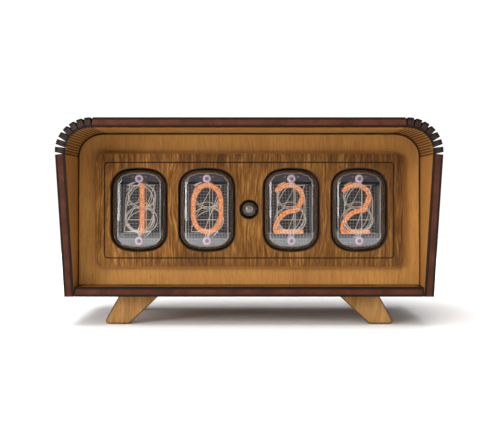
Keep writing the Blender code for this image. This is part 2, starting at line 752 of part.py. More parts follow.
def make_boards():
    holes = []
    for z in SPACER_Z:
        for side in (-1.0, 1.0):
            holes.append(circle(side * SPACER_X, z, 1.8, 8))
    outline = rounded(-60.5, 60.5, 20.0, 66.0, [2.0] * 4, 2)
    board = sheet("display_board", [outline] + holes, DISPLAY_BOARD, DISPLAY_BOARD + BOARD)
    finish(board, BOARD_GREEN, 0.4)
    outline = rounded(-47.0, 47.0, 19.0, 62.0, [2.0] * 4, 2)
    board = sheet("main_board", [outline], MAIN_BOARD, MAIN_BOARD + BOARD)
    finish(board, BOARD_GREEN, 0.4)
    base = box("pin_header", (-22.0, DISPLAY_BOARD + BOARD + GAP, 21.5), (22.0, 37.4, 26.5))
    pins = []
    for i in range(14):
        x = -21.0 + i * 3.2
        pins.append(box("pin", (x - 0.35, 37.0, 23.65), (x + 0.35, MAIN_BOARD - GAP, 24.35)))
    combine(base, pins, "UNION")
    finish(base, BLACK_PLASTIC, 0.5)
    names = (("lower", SPACER_Z[0]), ("upper", SPACER_Z[1]))
    for word_z, z in names:
        for side, word_x in ((-1.0, "left"), (1.0, "right")):
            front = SHEET + GAP
            back = DISPLAY_BOARD - GAP
            board_back = DISPLAY_BOARD + BOARD + GAP
            profile = [
                (0.0, 0.8),
                (1.2, 0.8),
                (1.2, front),
                (2.8, front),
                (2.8, back),
                (1.4, back),
                (1.4, board_back),
                (2.2, board_back),
                (1.0, board_back + 2.2),
                (0.0, board_back + 2.2),
            ]
            spacer = turned(f"board_spacer_{word_z}_{word_x}", profile, (side * SPACER_X, z), 8)
            finish(spacer, (0.85, 0.84, 0.8), 0.45)


def make_chip(name, x, z, half_x, half_z, low, high, legs):
    """A chip on a board facing back, with a row of legs along each long side."""
    chip = box(name, (x - half_x, low + 0.5, z - half_z), (x + half_x, high, z + half_z))
    pieces = []
    pitch = 2.0 * (half_x - 0.8) / (legs - 1)
    for side in (-1.0, 1.0):
        for i in range(legs):
            u = x - half_x + 0.8 + i * pitch
            v = sorted((z + side * (half_z - 0.4), z + side * (half_z + 0.9)))
            pieces.append(box("leg", (u - 0.3, low, v[0]), (u + 0.3, low + 1.1, v[1])))
    combine(chip, pieces, "UNION")
    finish(chip, BLACK_PLASTIC, 0.45)


def make_components():
    back = DISPLAY_BOARD + BOARD + GAP
    make_chip("driver_chip_left", -28.0, 43.0, 9.0, 3.8, back, back + 3.2, 5)
    make_chip("driver_chip_right", 28.0, 43.0, 9.0, 3.8, back, back + 3.2, 5)
    back = MAIN_BOARD + BOARD + GAP
    make_chip("microcontroller", 0.0, 31.0, 8.0, 3.8, back, back + 3.0, 4)
    profile = [(0.0, back), (4.2, back), (4.2, back + 1.2), (2.9, back + 1.6), (2.9, back + 5.4)]
    profile += [(4.2, back + 5.8), (4.2, back + 7.0), (0.0, back + 7.0)]
    coil = turned("hv_coil", profile, (20.0, 50.0), 12)
    finish(coil, (0.06, 0.055, 0.05), 0.6, 0.0, True)
    profile = [(0.0, back), (4.0, back), (4.0, back + 8.4), (3.6, back + 8.9), (0.0, back + 8.9)]
    capacitor = turned("hv_capacitor", profile, (36.0, 50.0), 12)
    finish(capacitor, (0.03, 0.05, 0.12), 0.35, 0.0, True)
    centre = (-24.0, 48.0)
    rim = back + 4.4
    floor = back + 1.0
    profile = [(0.0, back), (11.2, back), (11.2, rim), (10.3, rim), (10.3, floor), (0.0, floor)]
    holder = turned("battery_holder", profile, centre, 20)
    finish(holder, BLACK_PLASTIC, 0.5)
    low = floor + GAP
    profile = [(0.0, low), (10.0, low), (10.0, low + 2.4), (9.0, low + 3.2), (0.0, low + 3.2)]
    cell = turned("coin_cell", profile, centre, 20)
    finish(cell, (0.6, 0.6, 0.6), 0.3, 1.0)


def make_jack():
    back = MAIN_BOARD + BOARD + GAP
    body = box("power_jack", (JACK_X - 4.8, back, JACK_Z - 4.8), (JACK_X + 4.8, 49.0, JACK_Z + 4.8))
    end = REAR_PANEL_FRONT + SHEET
    profile = [(0.0, 46.0), (4.2, 46.0), (4.2, end), (0.0, end)]
    nose = turned("nose", profile, (JACK_X, JACK_Z), 16)
    combine(body, [nose], "UNION")
    tip = end - 0.6
    past = end + 1.0
    profile = [(0.0, tip), (1.05, tip), (1.05, 46.5), (2.8, 46.5), (2.8, past), (0.0, past)]
    bore = turned("bore", profile, (JACK_X, JACK_Z), 12)
    combine(body, [bore], "DIFFERENCE")
    finish(body, BLACK_PLASTIC, 0.4)


def make_buttons():
    back = MAIN_BOARD + BOARD + GAP
    end = REAR_PANEL_FRONT + SHEET
    for x, word in zip(SWITCH_X, ("one", "two")):
        switch = box(f"switch_{word}", (x - 3.1, back, SWITCH_Z - 3.1), (x + 3.1, back + 3.5, SWITCH_Z + 3.1))
        profile = [(0.0, back + 3.0), (1.7, back + 3.0), (1.7, back + 4.0), (0.0, back + 4.0)]
        combine(switch, [turned("plunger", profile, (x, SWITCH_Z), 10)], "UNION")
        finish(switch, BLACK_PLASTIC, 0.45)
        start = back + 4.0 + BUTTON_TRAVEL + GAP
        flange = REAR_PANEL_FRONT - GAP
        profile = [
            (0.0, start),
            (2.0, start),
            (2.0, flange - 1.2),
            (3.5, flange - 1.2),
            (3.5, flange),
            (2.25, flange),
            (2.25, end + 1.4),
            (1.8, end + 1.8),
            (0.0, end + 1.8),
        ]
        cap = turned(f"button_{word}", profile, (x, SWITCH_Z), 12, (x, end, SWITCH_Z))
        finish(cap, (0.03, 0.03, 0.032), 0.4, 0.0, True)


# --------------------------------------------------------------------- assembly


def main():
    clear_scene()
    finish(make_wrap(), PLYWOOD, 0.6)
    finish(make_floor(), PLYWOOD, 0.6)
    finish(make_front_panel(), PLYWOOD, 0.55)
    finish(make_bezel(), PLYWOOD_DARK, 0.5)
    finish(make_rear_panel(), PLYWOOD, 0.6)
    make_feet()
    for index, (x, lit) in enumerate(zip(TUBE_X, TUBE_DIGIT)):
        number = index + 1
        make_glass(number, x)
        make_anode(number, x)
        make_cathodes(number, x, lit)
        make_base_and_socket(number, x)
    make_lamp()
    make_boards()
    make_components()
    make_blocks()
    make_jack()
    make_buttons()


main()
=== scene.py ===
import math

import bmesh
import bpy
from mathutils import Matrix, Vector


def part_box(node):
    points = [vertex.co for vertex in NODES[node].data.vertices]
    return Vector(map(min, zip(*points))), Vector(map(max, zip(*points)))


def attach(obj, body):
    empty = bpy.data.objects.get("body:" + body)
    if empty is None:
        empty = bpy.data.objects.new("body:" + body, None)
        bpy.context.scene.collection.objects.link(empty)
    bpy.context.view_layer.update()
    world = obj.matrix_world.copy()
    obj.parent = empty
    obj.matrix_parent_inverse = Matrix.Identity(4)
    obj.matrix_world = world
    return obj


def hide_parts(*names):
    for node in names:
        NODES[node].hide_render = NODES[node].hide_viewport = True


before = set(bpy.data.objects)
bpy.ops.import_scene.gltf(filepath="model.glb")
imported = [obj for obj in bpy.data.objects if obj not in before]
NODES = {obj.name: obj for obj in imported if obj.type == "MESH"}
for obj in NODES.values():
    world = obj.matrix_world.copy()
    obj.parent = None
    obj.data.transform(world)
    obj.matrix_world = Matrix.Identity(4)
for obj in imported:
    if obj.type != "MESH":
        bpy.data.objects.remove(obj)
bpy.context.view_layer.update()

MM = 0.001
SCENE = bpy.context.scene


def mm_box(node):
    """Lowest and highest corner of a CAD node in millimetres."""
    low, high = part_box(node)
    return low / MM, high / MM


def centre(node):
    """Middle of a CAD node seen from the front, as (x, z) in millimetres."""
    low, high = mm_box(node)
    return (low.x + high.x) / 2.0, (low.z + high.z) / 2.0


def depths(node):
    """Front and back of a CAD node, measured back from the front face of the front panel."""
    low, high = mm_box(node)
    return low.y - FRONT_Y, high.y - FRONT_Y


# Depths are measured back from the front face of the front panel. The bend's two radii and the gap round
# each tenon are those of the CAD source.
FRONT_Y = mm_box("front_panel")[0].y
SHEET = mm_box("front_panel")[1].y - FRONT_Y
WRAP_LOW, WRAP_HIGH = mm_box("case_wrap")
WIDTH = WRAP_HIGH.x - WRAP_LOW.x
TOP_Z = WRAP_HIGH.z
FLOOR_Z = mm_box("floor_plate")[0].z
REAR_EDGE = WRAP_HIGH.y - FRONT_Y
HOOD_TOP = FRONT_Y - WRAP_LOW.y
HOOD_BOTTOM = FRONT_Y - mm_box("floor_plate")[0].y
BEND_ACROSS = 9.9
BEND_UP = 8.8
GAP = 0.3


def point(x, depth, z):
    """A place in the frame, in metres, from millimetres."""
    return Vector((x * MM, (FRONT_Y + depth) * MM, z * MM))


# ---------------- material helpers


class Shader:
    """A material under construction: thin wrappers round node creation."""

    def __init__(self, name):
        self.material = bpy.data.materials.new(name)
        self.material.use_nodes = True
        self.tree = self.material.node_tree
        self.surface = self.tree.nodes["Principled BSDF"]

    def node(self, kind, **settings):
        made = self.tree.nodes.new(kind)
        for key, value in settings.items():
            setattr(made, key, value)
        return made

    def feed(self, socket, value):
        if isinstance(value, bpy.types.NodeSocket):
            self.tree.links.new(value, socket)
        elif isinstance(value, (tuple, list)) and len(value) == 3 and socket.type == "RGBA":
            socket.default_value = (*value, 1.0)
        else:
            socket.default_value = value

    def fed(self, kind, **inputs):
        """A node with its inputs given by name."""
        return self.fill(self.tree.nodes.new(kind), inputs)

    def set(self, **inputs):
        self.fill(self.surface, inputs)

    def fill(self, made, inputs):
        for key, value in inputs.items():
            self.feed(made.inputs[key.replace("_", " ")], value)
        return made

    def math(self, operation, a, b=0.0, clamp=False):
        made = self.node("ShaderNodeMath", operation=operation, use_clamp=clamp)
        self.feed(made.inputs[0], a)
        self.feed(made.inputs[1], b)
        return made.outputs[0]

    def plus(self, a, b):
        return self.math("ADD", a, b)

    def minus(self, a, b):
        return self.math("SUBTRACT", a, b)

    def times(self, a, b):
        return self.math("MULTIPLY", a, b)

    def line(self, value, slope, start, clamp=False):
        """start + slope * value"""
        return self.math("ADD", start, self.times(value, slope), clamp)

    def vector(self, operation, a, b):
        made = self.node("ShaderNodeVectorMath", operation=operation)
        self.feed(made.inputs[0], a)
        self.feed(made.inputs[1], b)
        return made.outputs[0]

    def scaled(self, vector, amount):
        return self.vector("MULTIPLY", vector, (amount, amount, amount))

    def mix(self, share, a, b, blend="MIX"):
        made = self.node("ShaderNodeMix", data_type="RGBA", blend_type=blend)
        self.feed(made.inputs[0], share)
        self.feed(made.inputs[6], a)
        self.feed(made.inputs[7], b)
        return made.outputs[2]

    def ramp(self, value, stops, smooth=True):
        made = self.node("ShaderNodeValToRGB")
        band = made.color_ramp
        band.interpolation = "EASE" if smooth else "LINEAR"
        while len(band.elements) < len(stops):
            band.elements.new(0.5)
        for element, (position, colour) in zip(band.elements, stops):
            element.position = position
            level = colour if isinstance(colour, tuple) else (colour, colour, colour)
            element.color = (*level, 1.0)
        self.feed(made.inputs[0], value)
        return made.outputs[0]

    def rise(self, value, low, high):
        """0 below low, 1 above high, with soft ends."""
        return self.ramp(value, [(low, 0.0), (high, 1.0)])

    def shade(self, share, colour, value, stops):
        """The colour darkened and lightened by a value."""
        return self.mix(share, colour, self.ramp(value, stops, False), "MULTIPLY")

    def noise(self, where, scale=1.0, detail=2.0, rough=0.5):
        made = self.fed("ShaderNodeTexNoise", Vector=where, Scale=scale, Detail=detail, Roughness=rough)
        return made.outputs["Fac"]

    def attribute(self, name, kind="Vector"):
        made = self.node("ShaderNodeAttribute", attribute_name=name)
        return made.outputs[kind]

    def place(self):
        """Position on the piece in millimetres."""
        return self.scaled(self.node("ShaderNodeTexCoord").outputs["Object"], 1.0 / MM)

    def split(self, vector):
        made = self.node("ShaderNodeSeparateXYZ")
        self.feed(made.inputs[0], vector)
        return made.outputs

    def join(self, x, y, z):
        made = self.node("ShaderNodeCombineXYZ")
        for socket, value in zip(made.inputs, (x, y, z)):
            self.feed(socket, value)
        return made.outputs[0]

    def bump(self, height, strength, distance_mm):
        made = self.fed("ShaderNodeBump", Strength=strength, Distance=distance_mm * MM, Height=height)
        self.set(Normal=made.outputs[0])

    def blend(self, share, first, second):
        """Mix two surfaces."""
        made = self.node("ShaderNodeMixShader")
        for socket, value in zip(made.inputs, (share, first, second)):
            self.feed(socket, value)
        return made.outputs[0]

    def finish(self, surface):
        self.feed(self.tree.nodes["Material Output"].inputs["Surface"], surface)
        return self.material


SOOT = (0.018, 0.008, 0.004)
SMOKE_STAIN = (0.05, 0.02, 0.008)


def wood(name, pale, middle, dark, seed, streaks, smoke_and_shade_box=None, fine=1.0):
    """Stained veneer. The grain attribute holds millimetres along the grain, across it and into the sheet.

    streaks is how far the three tones part, and fine how narrow the streaks are. smoke_and_shade_box gives the
    middle height, half width, half height and reach of the smoke on the bezel, and its painted shade runs
    across the half width.
    """
    s = Shader(name)
    grain = s.vector("ADD", s.attribute("grain"), (seed * 173.0, seed * 71.0, seed * 13.0))
    along, across, into = s.split(grain)
    sway = s.noise(s.join(s.times(along, 0.025), s.times(across, 0.05), into))
    swayed = s.line(s.minus(sway, 0.5), 9.0, across)

    def band(a, b, detail, rough=0.55):
        where = s.join(s.times(along, a), s.times(swayed, b), 0.0)
        return s.noise(where, 1.0, detail, rough)

    broad = band(0.01, 0.07, 2.0)
    streak = band(0.035 * fine * fine, 0.8 * fine, 4.0, 0.62)
    fibre = band(0.13, 4.5, 2.0)
    pores = s.rise(band(0.2, 2.6, 1.0), 0.58, 0.72)
    tone = s.plus(s.times(streak, 0.72), s.times(broad, 0.28))
    colour = s.ramp(tone, [(0.37, dark), (0.5, middle), (0.63, pale)])
    colour = s.mix(1.0 - streaks, colour, middle)
    colour = s.shade(0.8, colour, fibre, [(0.25, 0.78), (0.75, 1.14)])
    colour = s.mix(s.times(pores, 0.15 + 0.4 * streaks), colour, tuple(0.3 * c for c in dark))
    blotch = s.noise(s.join(s.times(along, 0.045), s.times(across, 0.045), 3.0), 1.0, 3.0)
    colour = s.shade(0.5, colour, blotch, [(0.3, 0.74), (0.7, 1.16)])
    if smoke_and_shade_box:
        colour = smoke_and_side_shade(s, colour, band(0.05, 0.45, 3.0), *smoke_and_shade_box)
    ragged = s.noise(s.scaled(grain, 0.9), 1.0, 3.0)
    burn = s.times(s.attribute("burn", "Fac"), s.plus(0.55, ragged))
    burn = s.rise(burn, 0.12, 0.9)
    colour = s.mix(s.times(burn, 0.92), colour, SOOT)
    s.set(Base_Color=colour, Specular_IOR_Level=0.12)
    s.set(Roughness=s.line(burn, 0.15, s.line(fibre, 0.22, 0.42), clamp=True))
    height = s.plus(s.times(fibre, 0.6), s.times(pores, -1.0))
    s.bump(s.line(streak, 0.3, height), 0.5, 0.08)
    return s.material


def smoke_and_side_shade(s, colour, wisps, mid_z, half_w, half_h, reach):
    """Smoke wisps along the top, bottom and right-hand end, and painted shade that lightens the left end and
    darkens towards the right.
    """
    x, _, z = s.split(s.place())
    aside = s.math("ABSOLUTE", s.plus(x, 9.0))
    side = s.minus(half_w + 6.0, aside)
    end = s.minus(half_h, s.math("ABSOLUTE", s.minus(z, mid_z)))
    near = s.math("SUBTRACT", 1.0, s.math("DIVIDE", s.math("MINIMUM", side, end), reach), clamp=True)
    thick = s.rise(wisps, 0.44, 0.62)
    colour = s.mix(s.times(s.times(near, thick), 0.6), colour, SMOKE_STAIN)
    # painted light and shade: the bezel lightens towards its left end and darkens towards its right end
    share = s.math("DIVIDE", s.plus(x, half_w), 2.0 * half_w)
    return s.shade(1.0, colour, share, [(0.0, 1.22), (0.5, 0.97), (1.0, 0.84)])


def burnt_edge(name, char, core, seed, layers=True):
    """Laser-cut edge of three-ply board: scorched outer veneers round a redder core."""
    s = Shader(name)
    _, _, into = s.split(s.attribute("grain"))
    share = s.math("DIVIDE", into, SHEET)
    where = s.place()
    wander = s.noise(s.scaled(where, 0.5), 1.0, 3.0)
    shifted = s.line(s.minus(wander, 0.5), 0.05, share)
    ply = s.ramp(shifted, [(0.18, 0.0), (0.29, 1.0), (0.70, 1.0), (0.79, 0.0)])
    soot = s.noise(s.vector("ADD", s.scaled(where, 0.16), (seed, 0.0, 0.0)), 1.0, 4.0, 0.6)
    fine = s.noise(s.scaled(where, 3.0))
    core_tone = s.mix(s.rise(soot, 0.3, 0.7), tuple(0.55 * c for c in core), core)
    colour = s.mix(ply if layers else 0.25, char, core_tone)
    colour = s.shade(0.5, colour, fine, [(0.3, 0.6), (0.7, 1.25)])
    s.set(Base_Color=colour, Roughness=s.line(fine, 0.2, 0.5), Specular_IOR_Level=0.1)
    s.bump(s.line(ply, 0.8, fine), 0.6, 0.1)
    return s.material


def plastic(name, colour, rough=0.45, grit=0.05, spread=0.25):
    """Moulded plastic. grit is the depth of its bumps in mm, and spread how much its tone varies."""
    s = Shader(name)
    where = s.place()
    fine = s.noise(where, 6.0)
    broad = s.noise(where, 0.25, 3.0)
    s.set(Base_Color=s.shade(1.0, colour, broad, [(0.3, 1.0 - spread), (0.7, 1.0 + spread)]))
    s.set(Roughness=s.line(fine, 0.14, rough - 0.06))
    s.bump(fine, 0.35, grit)
    return s.material


def metal(name, colour, rough=0.3, brushed=(1.0, 1.0, 1.0)):
    """Bare metal. brushed stretches its fine marks along the axes where it is below 1."""
    s = Shader(name)
    where = s.place()
    fine = s.noise(s.vector("MULTIPLY", where, brushed), 3.0, 3.0)
    broad = s.noise(where, 0.4)
    s.set(Base_Color=s.shade(1.0, colour, broad, [(0.3, 0.8), (0.7, 1.2)]), Metallic=1.0)
    s.set(Roughness=s.line(fine, 0.2, rough - 0.08))
    s.bump(fine, 0.25, 0.03)
    return s.material


# Painted sheen and reflection on the glass: how much a brown-grey diffuse rim shows as the glass turns away, in
# two bands round each shoulder
RIM_SHEEN_BANDS = [(0.15, 0.0), (0.22, 0.38), (0.33, 0.04), (0.45, 0.42), (0.60, 0.0)]
RIM_REFLECTION_TINT = (0.125, 0.085, 0.06)


def clear_glass(name, tint=(0.97, 0.985, 0.98)):
    """Glass that bends light for the eye and lets the lamps through to what is inside."""
    s = Shader(name)
    where = s.place()
    film = s.noise(where, 0.35, 3.0)
    s.set(Base_Color=s.mix(s.rise(film, 0.35, 0.8), tint, tuple(0.93 * c for c in tint)))
    s.set(Roughness=s.times(s.rise(film, 0.45, 0.9), 0.05))
    s.set(Transmission_Weight=1.0, IOR=1.38)
    s.bump(s.noise(s.vector("MULTIPLY", where, (0.55, 0.2, 0.05))), 0.16, 0.12)
    # a brown-grey diffuse rim by viewing angle: painted sheen and reflection on the shoulders
    slant = s.node("ShaderNodeLayerWeight")
    rim = s.fed("ShaderNodeBsdfDiffuse", Color=RIM_REFLECTION_TINT)
    body = s.blend(s.ramp(slant.outputs["Facing"], RIM_SHEEN_BANDS), s.surface.outputs[0], rim.outputs[0])
    rays = s.node("ShaderNodeLightPath")
    through = s.node("ShaderNodeBsdfTransparent")
    shadow = s.times(rays.outputs["Is Shadow Ray"], 0.92)
    return s.finish(s.blend(shadow, body, through.outputs[0]))


def ceramic(name, colour, specular=0.5, grit=0.2):
    """Ceramic or mica with fine specks. grit is the strength of its bumps."""
    s = Shader(name)
    speck = s.noise(s.place(), 2.5, 3.0)
    s.set(Base_Color=s.mix(s.rise(speck, 0.4, 0.7), colour, tuple(0.8 * c for c in colour)))
    s.set(Roughness=s.line(speck, 0.2, 0.35), Specular_IOR_Level=specular)
    s.bump(speck, grit, 0.03)
    return s.material


def glow(name, rim, heart, strength):
    """Neon glow hugging a cathode: brightest where seen square on, fading to nothing at its rim."""
    s = Shader(name)
    facing = s.node("ShaderNodeLayerWeight")
    flicker = s.noise(s.place(), 1.25)
    toward = s.minus(1.0, facing.outputs["Facing"])
    share = s.rise(toward, 0.05, 0.62)
    colour = s.mix(s.rise(toward, 0.35, 0.98), rim, heart)
    colour = s.mix(s.ramp(flicker, [(0.38, 0.0), (0.62, 0.75)]), colour, rim)
    light = s.fed("ShaderNodeEmission", Color=colour, Strength=strength)
    through = s.node("ShaderNodeBsdfTransparent")
    return s.finish(s.blend(s.times(share, 0.93), through.outputs[0], light.outputs[0]))


def circuit_board(name):
    """Green solder mask over copper tracks and pads."""
    s = Shader(name)
    x, _, z = s.split(s.place())
    flat = s.join(x, z, 0.0)
    cells = s.fed("ShaderNodeTexBrick", Vector=flat, Scale=0.22, Mortar_Size=0.035, Mortar_Smooth=0.4)
    gate = s.rise(s.noise(flat, 0.12), 0.46, 0.5)
    copper = s.times(cells.outputs["Fac"], gate)
    dots = s.fed("ShaderNodeTexVoronoi", Vector=flat, Scale=0.45)
    pads = s.ramp(dots.outputs["Distance"], [(0.1, 1.0), (0.14, 0.0)])
    tint = s.noise(flat, 0.3, 3.0)
    mask = s.mix(s.rise(tint, 0.3, 0.7), (0.008, 0.07, 0.032), (0.012, 0.1, 0.045))
    colour = s.mix(s.times(copper, 0.8), mask, (0.03, 0.2, 0.075))
    colour = s.mix(s.times(pads, 0.85), colour, (0.55, 0.52, 0.45))
    s.set(Base_Color=colour, Roughness=s.line(tint, 0.2, 0.28))
    s.bump(s.plus(copper, pads), 0.5, 0.05)
    return s.material


# ---------------- geometry helpers


def arc(cx, cz, rx, rz, start, end, steps):
    """Points along an ellipse between two angles in degrees."""
    angles = [math.radians(start + (end - start) * i / steps) for i in range(steps + 1)]
    return [(cx + rx * math.cos(angle), cz + rz * math.sin(angle)) for angle in angles]


def circle(cx, cz, radius, sides):
    return arc(cx, cz, radius, radius, 0.0, 360.0, sides)[:-1]


def rounded(low_x, high_x, low_z, high_z, radius, steps):
    """A rectangle with round corners."""
    points = []
    corners = ((high_x, low_z, -90.0), (high_x, high_z, 0.0), (low_x, high_z, 90.0), (low_x, low_z, 180.0))
    for x, z, start in corners:
        cx = x - radius if x == high_x else x + radius
        cz = z - radius if z == high_z else z + radius
        points += arc(cx, cz, radius, radius, start, start + 90.0, steps)
    return points


def corner_step(into, out, distance, sharpest):
    """How far a corner moves when both its sides move left by the distance, limited where it is sharp."""
    first = Vector((-into.y, into.x))
    second = Vector((-out.y, out.x))
    middle = (first + second).normalized()
    return middle * (distance / max(middle.dot(first), sharpest))


def offset(loop, distance):
    """Move a closed outline to its left by the distance (inwards when it runs anticlockwise)."""
    moved = []
    for i, spot in enumerate(loop):
        here = Vector(spot)
        into = (here - Vector(loop[i - 1])).normalized()
        out = (Vector(loop[(i + 1) % len(loop)]) - here).normalized()
        moved.append(tuple(here + corner_step(into, out, distance, 0.4)))
    return moved


def into_material(loops, distance):
    """The same outlines moved into the sheet: the outer one shrinks and the holes grow."""
    moved = []
    for index, loop in enumerate(loops):
        twice_area = sum(ax * bz - bx * az for (ax, az), (bx, bz) in zip(loop, loop[1:] + loop[:1]))
        turns_left = twice_area > 0.0
        moved.append(offset(loop, distance if (index == 0) == turns_left else -distance))
    return moved


class Builder:
    """Collects geometry in millimetres, with grain and burn attributes on its points."""

    def __init__(self):
        self.bm = bmesh.new()
        self.grain = self.bm.verts.layers.float_vector.new("grain")
        self.burn = self.bm.verts.layers.float.new("burn")

    def vert(self, co, grain=(0.0, 0.0, 0.0), burn=0.0):
        made = self.bm.verts.new(co)
        made[self.grain] = Vector(grain)
        made[self.burn] = burn
        return made

    def face(self, verts, slot=0):
        made = self.bm.faces.new(verts)
        made.material_index = slot
        return made

    def bridge(self, a, b, slot=0):
        for i in range(len(a)):
            j = (i + 1) % len(a)
            self.face((a[i], a[j], b[j], b[i]), slot)

    def join(self, rings, closed, slot):
        """Skin a row of rings, and close its ends unless it runs round."""
        for a, b in zip(rings, rings[1:]):
            self.bridge(a, b, slot)
        if closed:
            self.bridge(rings[-1], rings[0], slot)
        else:
            self.face(rings[0], slot)
            self.face(rings[-1][::-1], slot)

    def fill(self, rings, slot=0):
        """Close the flat area between rings: the first is its outline and the others are holes."""
        edges = []
        for ring in rings:
            for pair in zip(ring, ring[1:] + ring[:1]):
                edges.append(self.bm.edges.get(pair) or self.bm.edges.new(pair))
        made = bmesh.ops.triangle_fill(self.bm, edges=edges, use_beauty=True, use_dissolve=False)
        for item in made["geom"]:
            if isinstance(item, bmesh.types.BMFace):
                item.material_index = slot

    def object(self, name, materials, replaces, body="case", angle=32.0):
        """Make the piece, with its edges sharp where they turn by more than the angle."""
        loose = [v for v in self.bm.verts if not v.link_faces]
        bmesh.ops.delete(self.bm, geom=loose, context="VERTS")
        bmesh.ops.recalc_face_normals(self.bm, faces=self.bm.faces)
        for v in self.bm.verts:
            v.co = point(*v.co)
        mesh = bpy.data.meshes.new(name)
        self.bm.to_mesh(mesh)
        self.bm.free()
        for material in materials:
            mesh.materials.append(material)
        mesh.polygons.foreach_set("use_smooth", [True] * len(mesh.polygons))
        mesh.set_sharp_from_angle(angle=math.radians(angle))
        made = bpy.data.objects.new(name, mesh)
        SCENE.collection.objects.link(made)
        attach(made, body)
        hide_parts(*replaces)


def plate(builder, loops, low, high, scorch, axis="Y", edge_round=0.15, groove=None, burns=None,
          edge_slots=None, burn_at=None):
    """A cut sheet with softened edges and a scorched border. The grain runs up it, or across it if it lies.

    Slot 0 is its faces and slot 1 its cut edges, unless edge_slots names one for each outline. burns gives
    how dark each outline is scorched, and burn_at(u, v) changes that along the outer one. groove is the outer
    line, inner line and depth of an engraving.
    """
    burns = burns or [1.0] * len(loops)
    edge_slots = edge_slots or [1] * len(loops)

    def ring(loop, w, burn, outer=False):
        # u and v lie in the sheet and w runs through it: a sheet stands facing Y or lies facing Z
        made = []
        for u, v in loop:
            share = burn_at(u, v) if outer and burn_at else 1.0
            spot, grain = ((u, w, v), (v, u, w - low)) if axis == "Y" else ((u, v, w), (u, v, w - low))
            made.append(builder.vert(spot, grain, burn * share))
        return made

    steps = [(scorch, low, 0.0), (edge_round, low, 1.0), (0.0, low + edge_round, 1.0)]
    steps += [(0.0, high - edge_round, 1.0), (edge_round, high, 1.0), (scorch, high, 0.0)]
    levels = []
    for inset, w, burn in steps:
        moved = into_material(loops, inset)
        levels.append([ring(loop, w, burn * burns[i], i == 0) for i, loop in enumerate(moved)])
    for number, (a, b) in enumerate(zip(levels, levels[1:])):
        for index, (first, second) in enumerate(zip(a, b)):
            builder.bridge(first, second, edge_slots[index] if 0 < number < 4 else 0)
    if groove is None:
        builder.fill(levels[0])
    else:
        outer, inner, depth = groove
        near = ring(outer, low, 0.7)
        far = ring(inner, low, 0.7)
        middle = [((a + c) / 2.0, (b + d) / 2.0) for (a, b), (c, d) in zip(outer, inner)]
        bottom = ring(middle, low + depth, 1.0)
        wide_out = ring(offset(outer, -0.2), low, 0.0)
        wide_in = ring(offset(inner, 0.2), low, 0.0)
        builder.bridge(near, bottom, 1)
        builder.bridge(bottom, far, 1)
        builder.bridge(wide_out, near)
        builder.bridge(far, wide_in)
        builder.fill([levels[0][0], wide_out])
        builder.fill([wide_in] + levels[0][1:])
    builder.fill(levels[-1])


GLOW_RADIUS = 0.93
GLOW_THICKNESS = 0.45
GLOW_SIDES = 18


def glow_rod(builder, path, closed):
    """A flattened rod of glow along a line of points (x, depth, z), with round ends where the line is open."""
    spots = [Vector(spot) for spot in path]
    last = len(spots) - 1
    stations = []
    for i, here in enumerate(spots):
        before = spots[i - 1] if closed or i > 0 else here
        after = spots[(i + 1) % len(spots)] if closed or i < last else here
        stations.append((here, (after - before).normalized(), 1.0))
    if not closed:
        for end, sign in ((0, -1.0), (-1, 1.0)):
            here, run, _ = stations[end]
            cap = []
            for step in (0.35, 0.65, 0.9):
                size = math.sqrt(1.0 - step * step)
                cap.append((here + run * (sign * step * GLOW_RADIUS * 0.8), run, size))
            stations = cap[::-1] + stations if end == 0 else stations + cap
    rings = []
    for here, run, size in stations:
        side = run.cross(Vector((0.0, 1.0, 0.0))).normalized()
        up = side.cross(run).normalized()
        ring = []
        for k in range(GLOW_SIDES):
            angle = 2.0 * math.pi * k / GLOW_SIDES
            spot = side * (GLOW_RADIUS * math.cos(angle))
            spot += up * (GLOW_RADIUS * GLOW_THICKNESS * math.sin(angle))
            ring.append(builder.vert(here + spot * size))
        rings.append(ring)
    builder.join(rings, closed, 0)


def lathe(builder, profile, axis, sides, slot=0):
    """Turn a closed (radius, depth) profile round an axis along the depth at (x, z)."""
    rings = []
    for radius, depth in profile:
        if radius == 0.0:
            rings.append([builder.vert((axis[0], depth, axis[1]))])
        else:
            rings.append([builder.vert((x, depth, z)) for x, z in circle(*axis, radius, sides)])
    for a, b in zip(rings, rings[1:] + rings[:1]):
        if len(a) == 1 and len(b) == 1:
            continue
        for i in range(sides):
            j = (i + 1) % sides
            if len(a) == 1:
                builder.face((a[0], b[i], b[j]), slot)
            elif len(b) == 1:
                builder.face((a[i], a[j], b[0]), slot)
            else:
                builder.face((a[i], a[j], b[j], b[i]), slot)


# ---------------- tube shape

# The outline of a tube opening: half width, half height, and the radii of its top arc and its corners
OPENING_W = 10.6
OPENING_H = 15.65
OPENING_ARC = 24.0
OPENING_CORNER = 6.8


def tube_outline(cx, cz, inset):
    half_w = OPENING_W - inset
    half_h = OPENING_H - inset
    big = OPENING_ARC - inset
    small = max(OPENING_CORNER - inset, 0.6)
    corner_x = half_w - small
    arc_z = half_h - big
    corner_z = arc_z + math.sqrt((big - small) ** 2 - corner_x**2)
    lean = math.degrees(math.atan2(corner_z - arc_z, corner_x))
    upper = arc(corner_x, corner_z, small, small, 0.0, lean, 10)
    upper += arc(0.0, arc_z, big, big, lean, 180.0 - lean, 16)[1:-1]
    upper += arc(-corner_x, corner_z, small, small, 180.0 - lean, 180.0, 10)
    lower = [(-x, -z) for x, z in upper]
    return [(cx + x, cz + z) for x, z in upper + lower]


TUBES = [centre(f"tube_{number}_glass") for number in (1, 2, 3, 4)]
LIT = (1, 0, 2, 2)
LAMP = centre("lamp_glass")

# ---------------- the materials

PALE = (0.43, 0.208, 0.053)
GOLD = (0.40, 0.182, 0.044)
BROWN = (0.27, 0.113, 0.025)

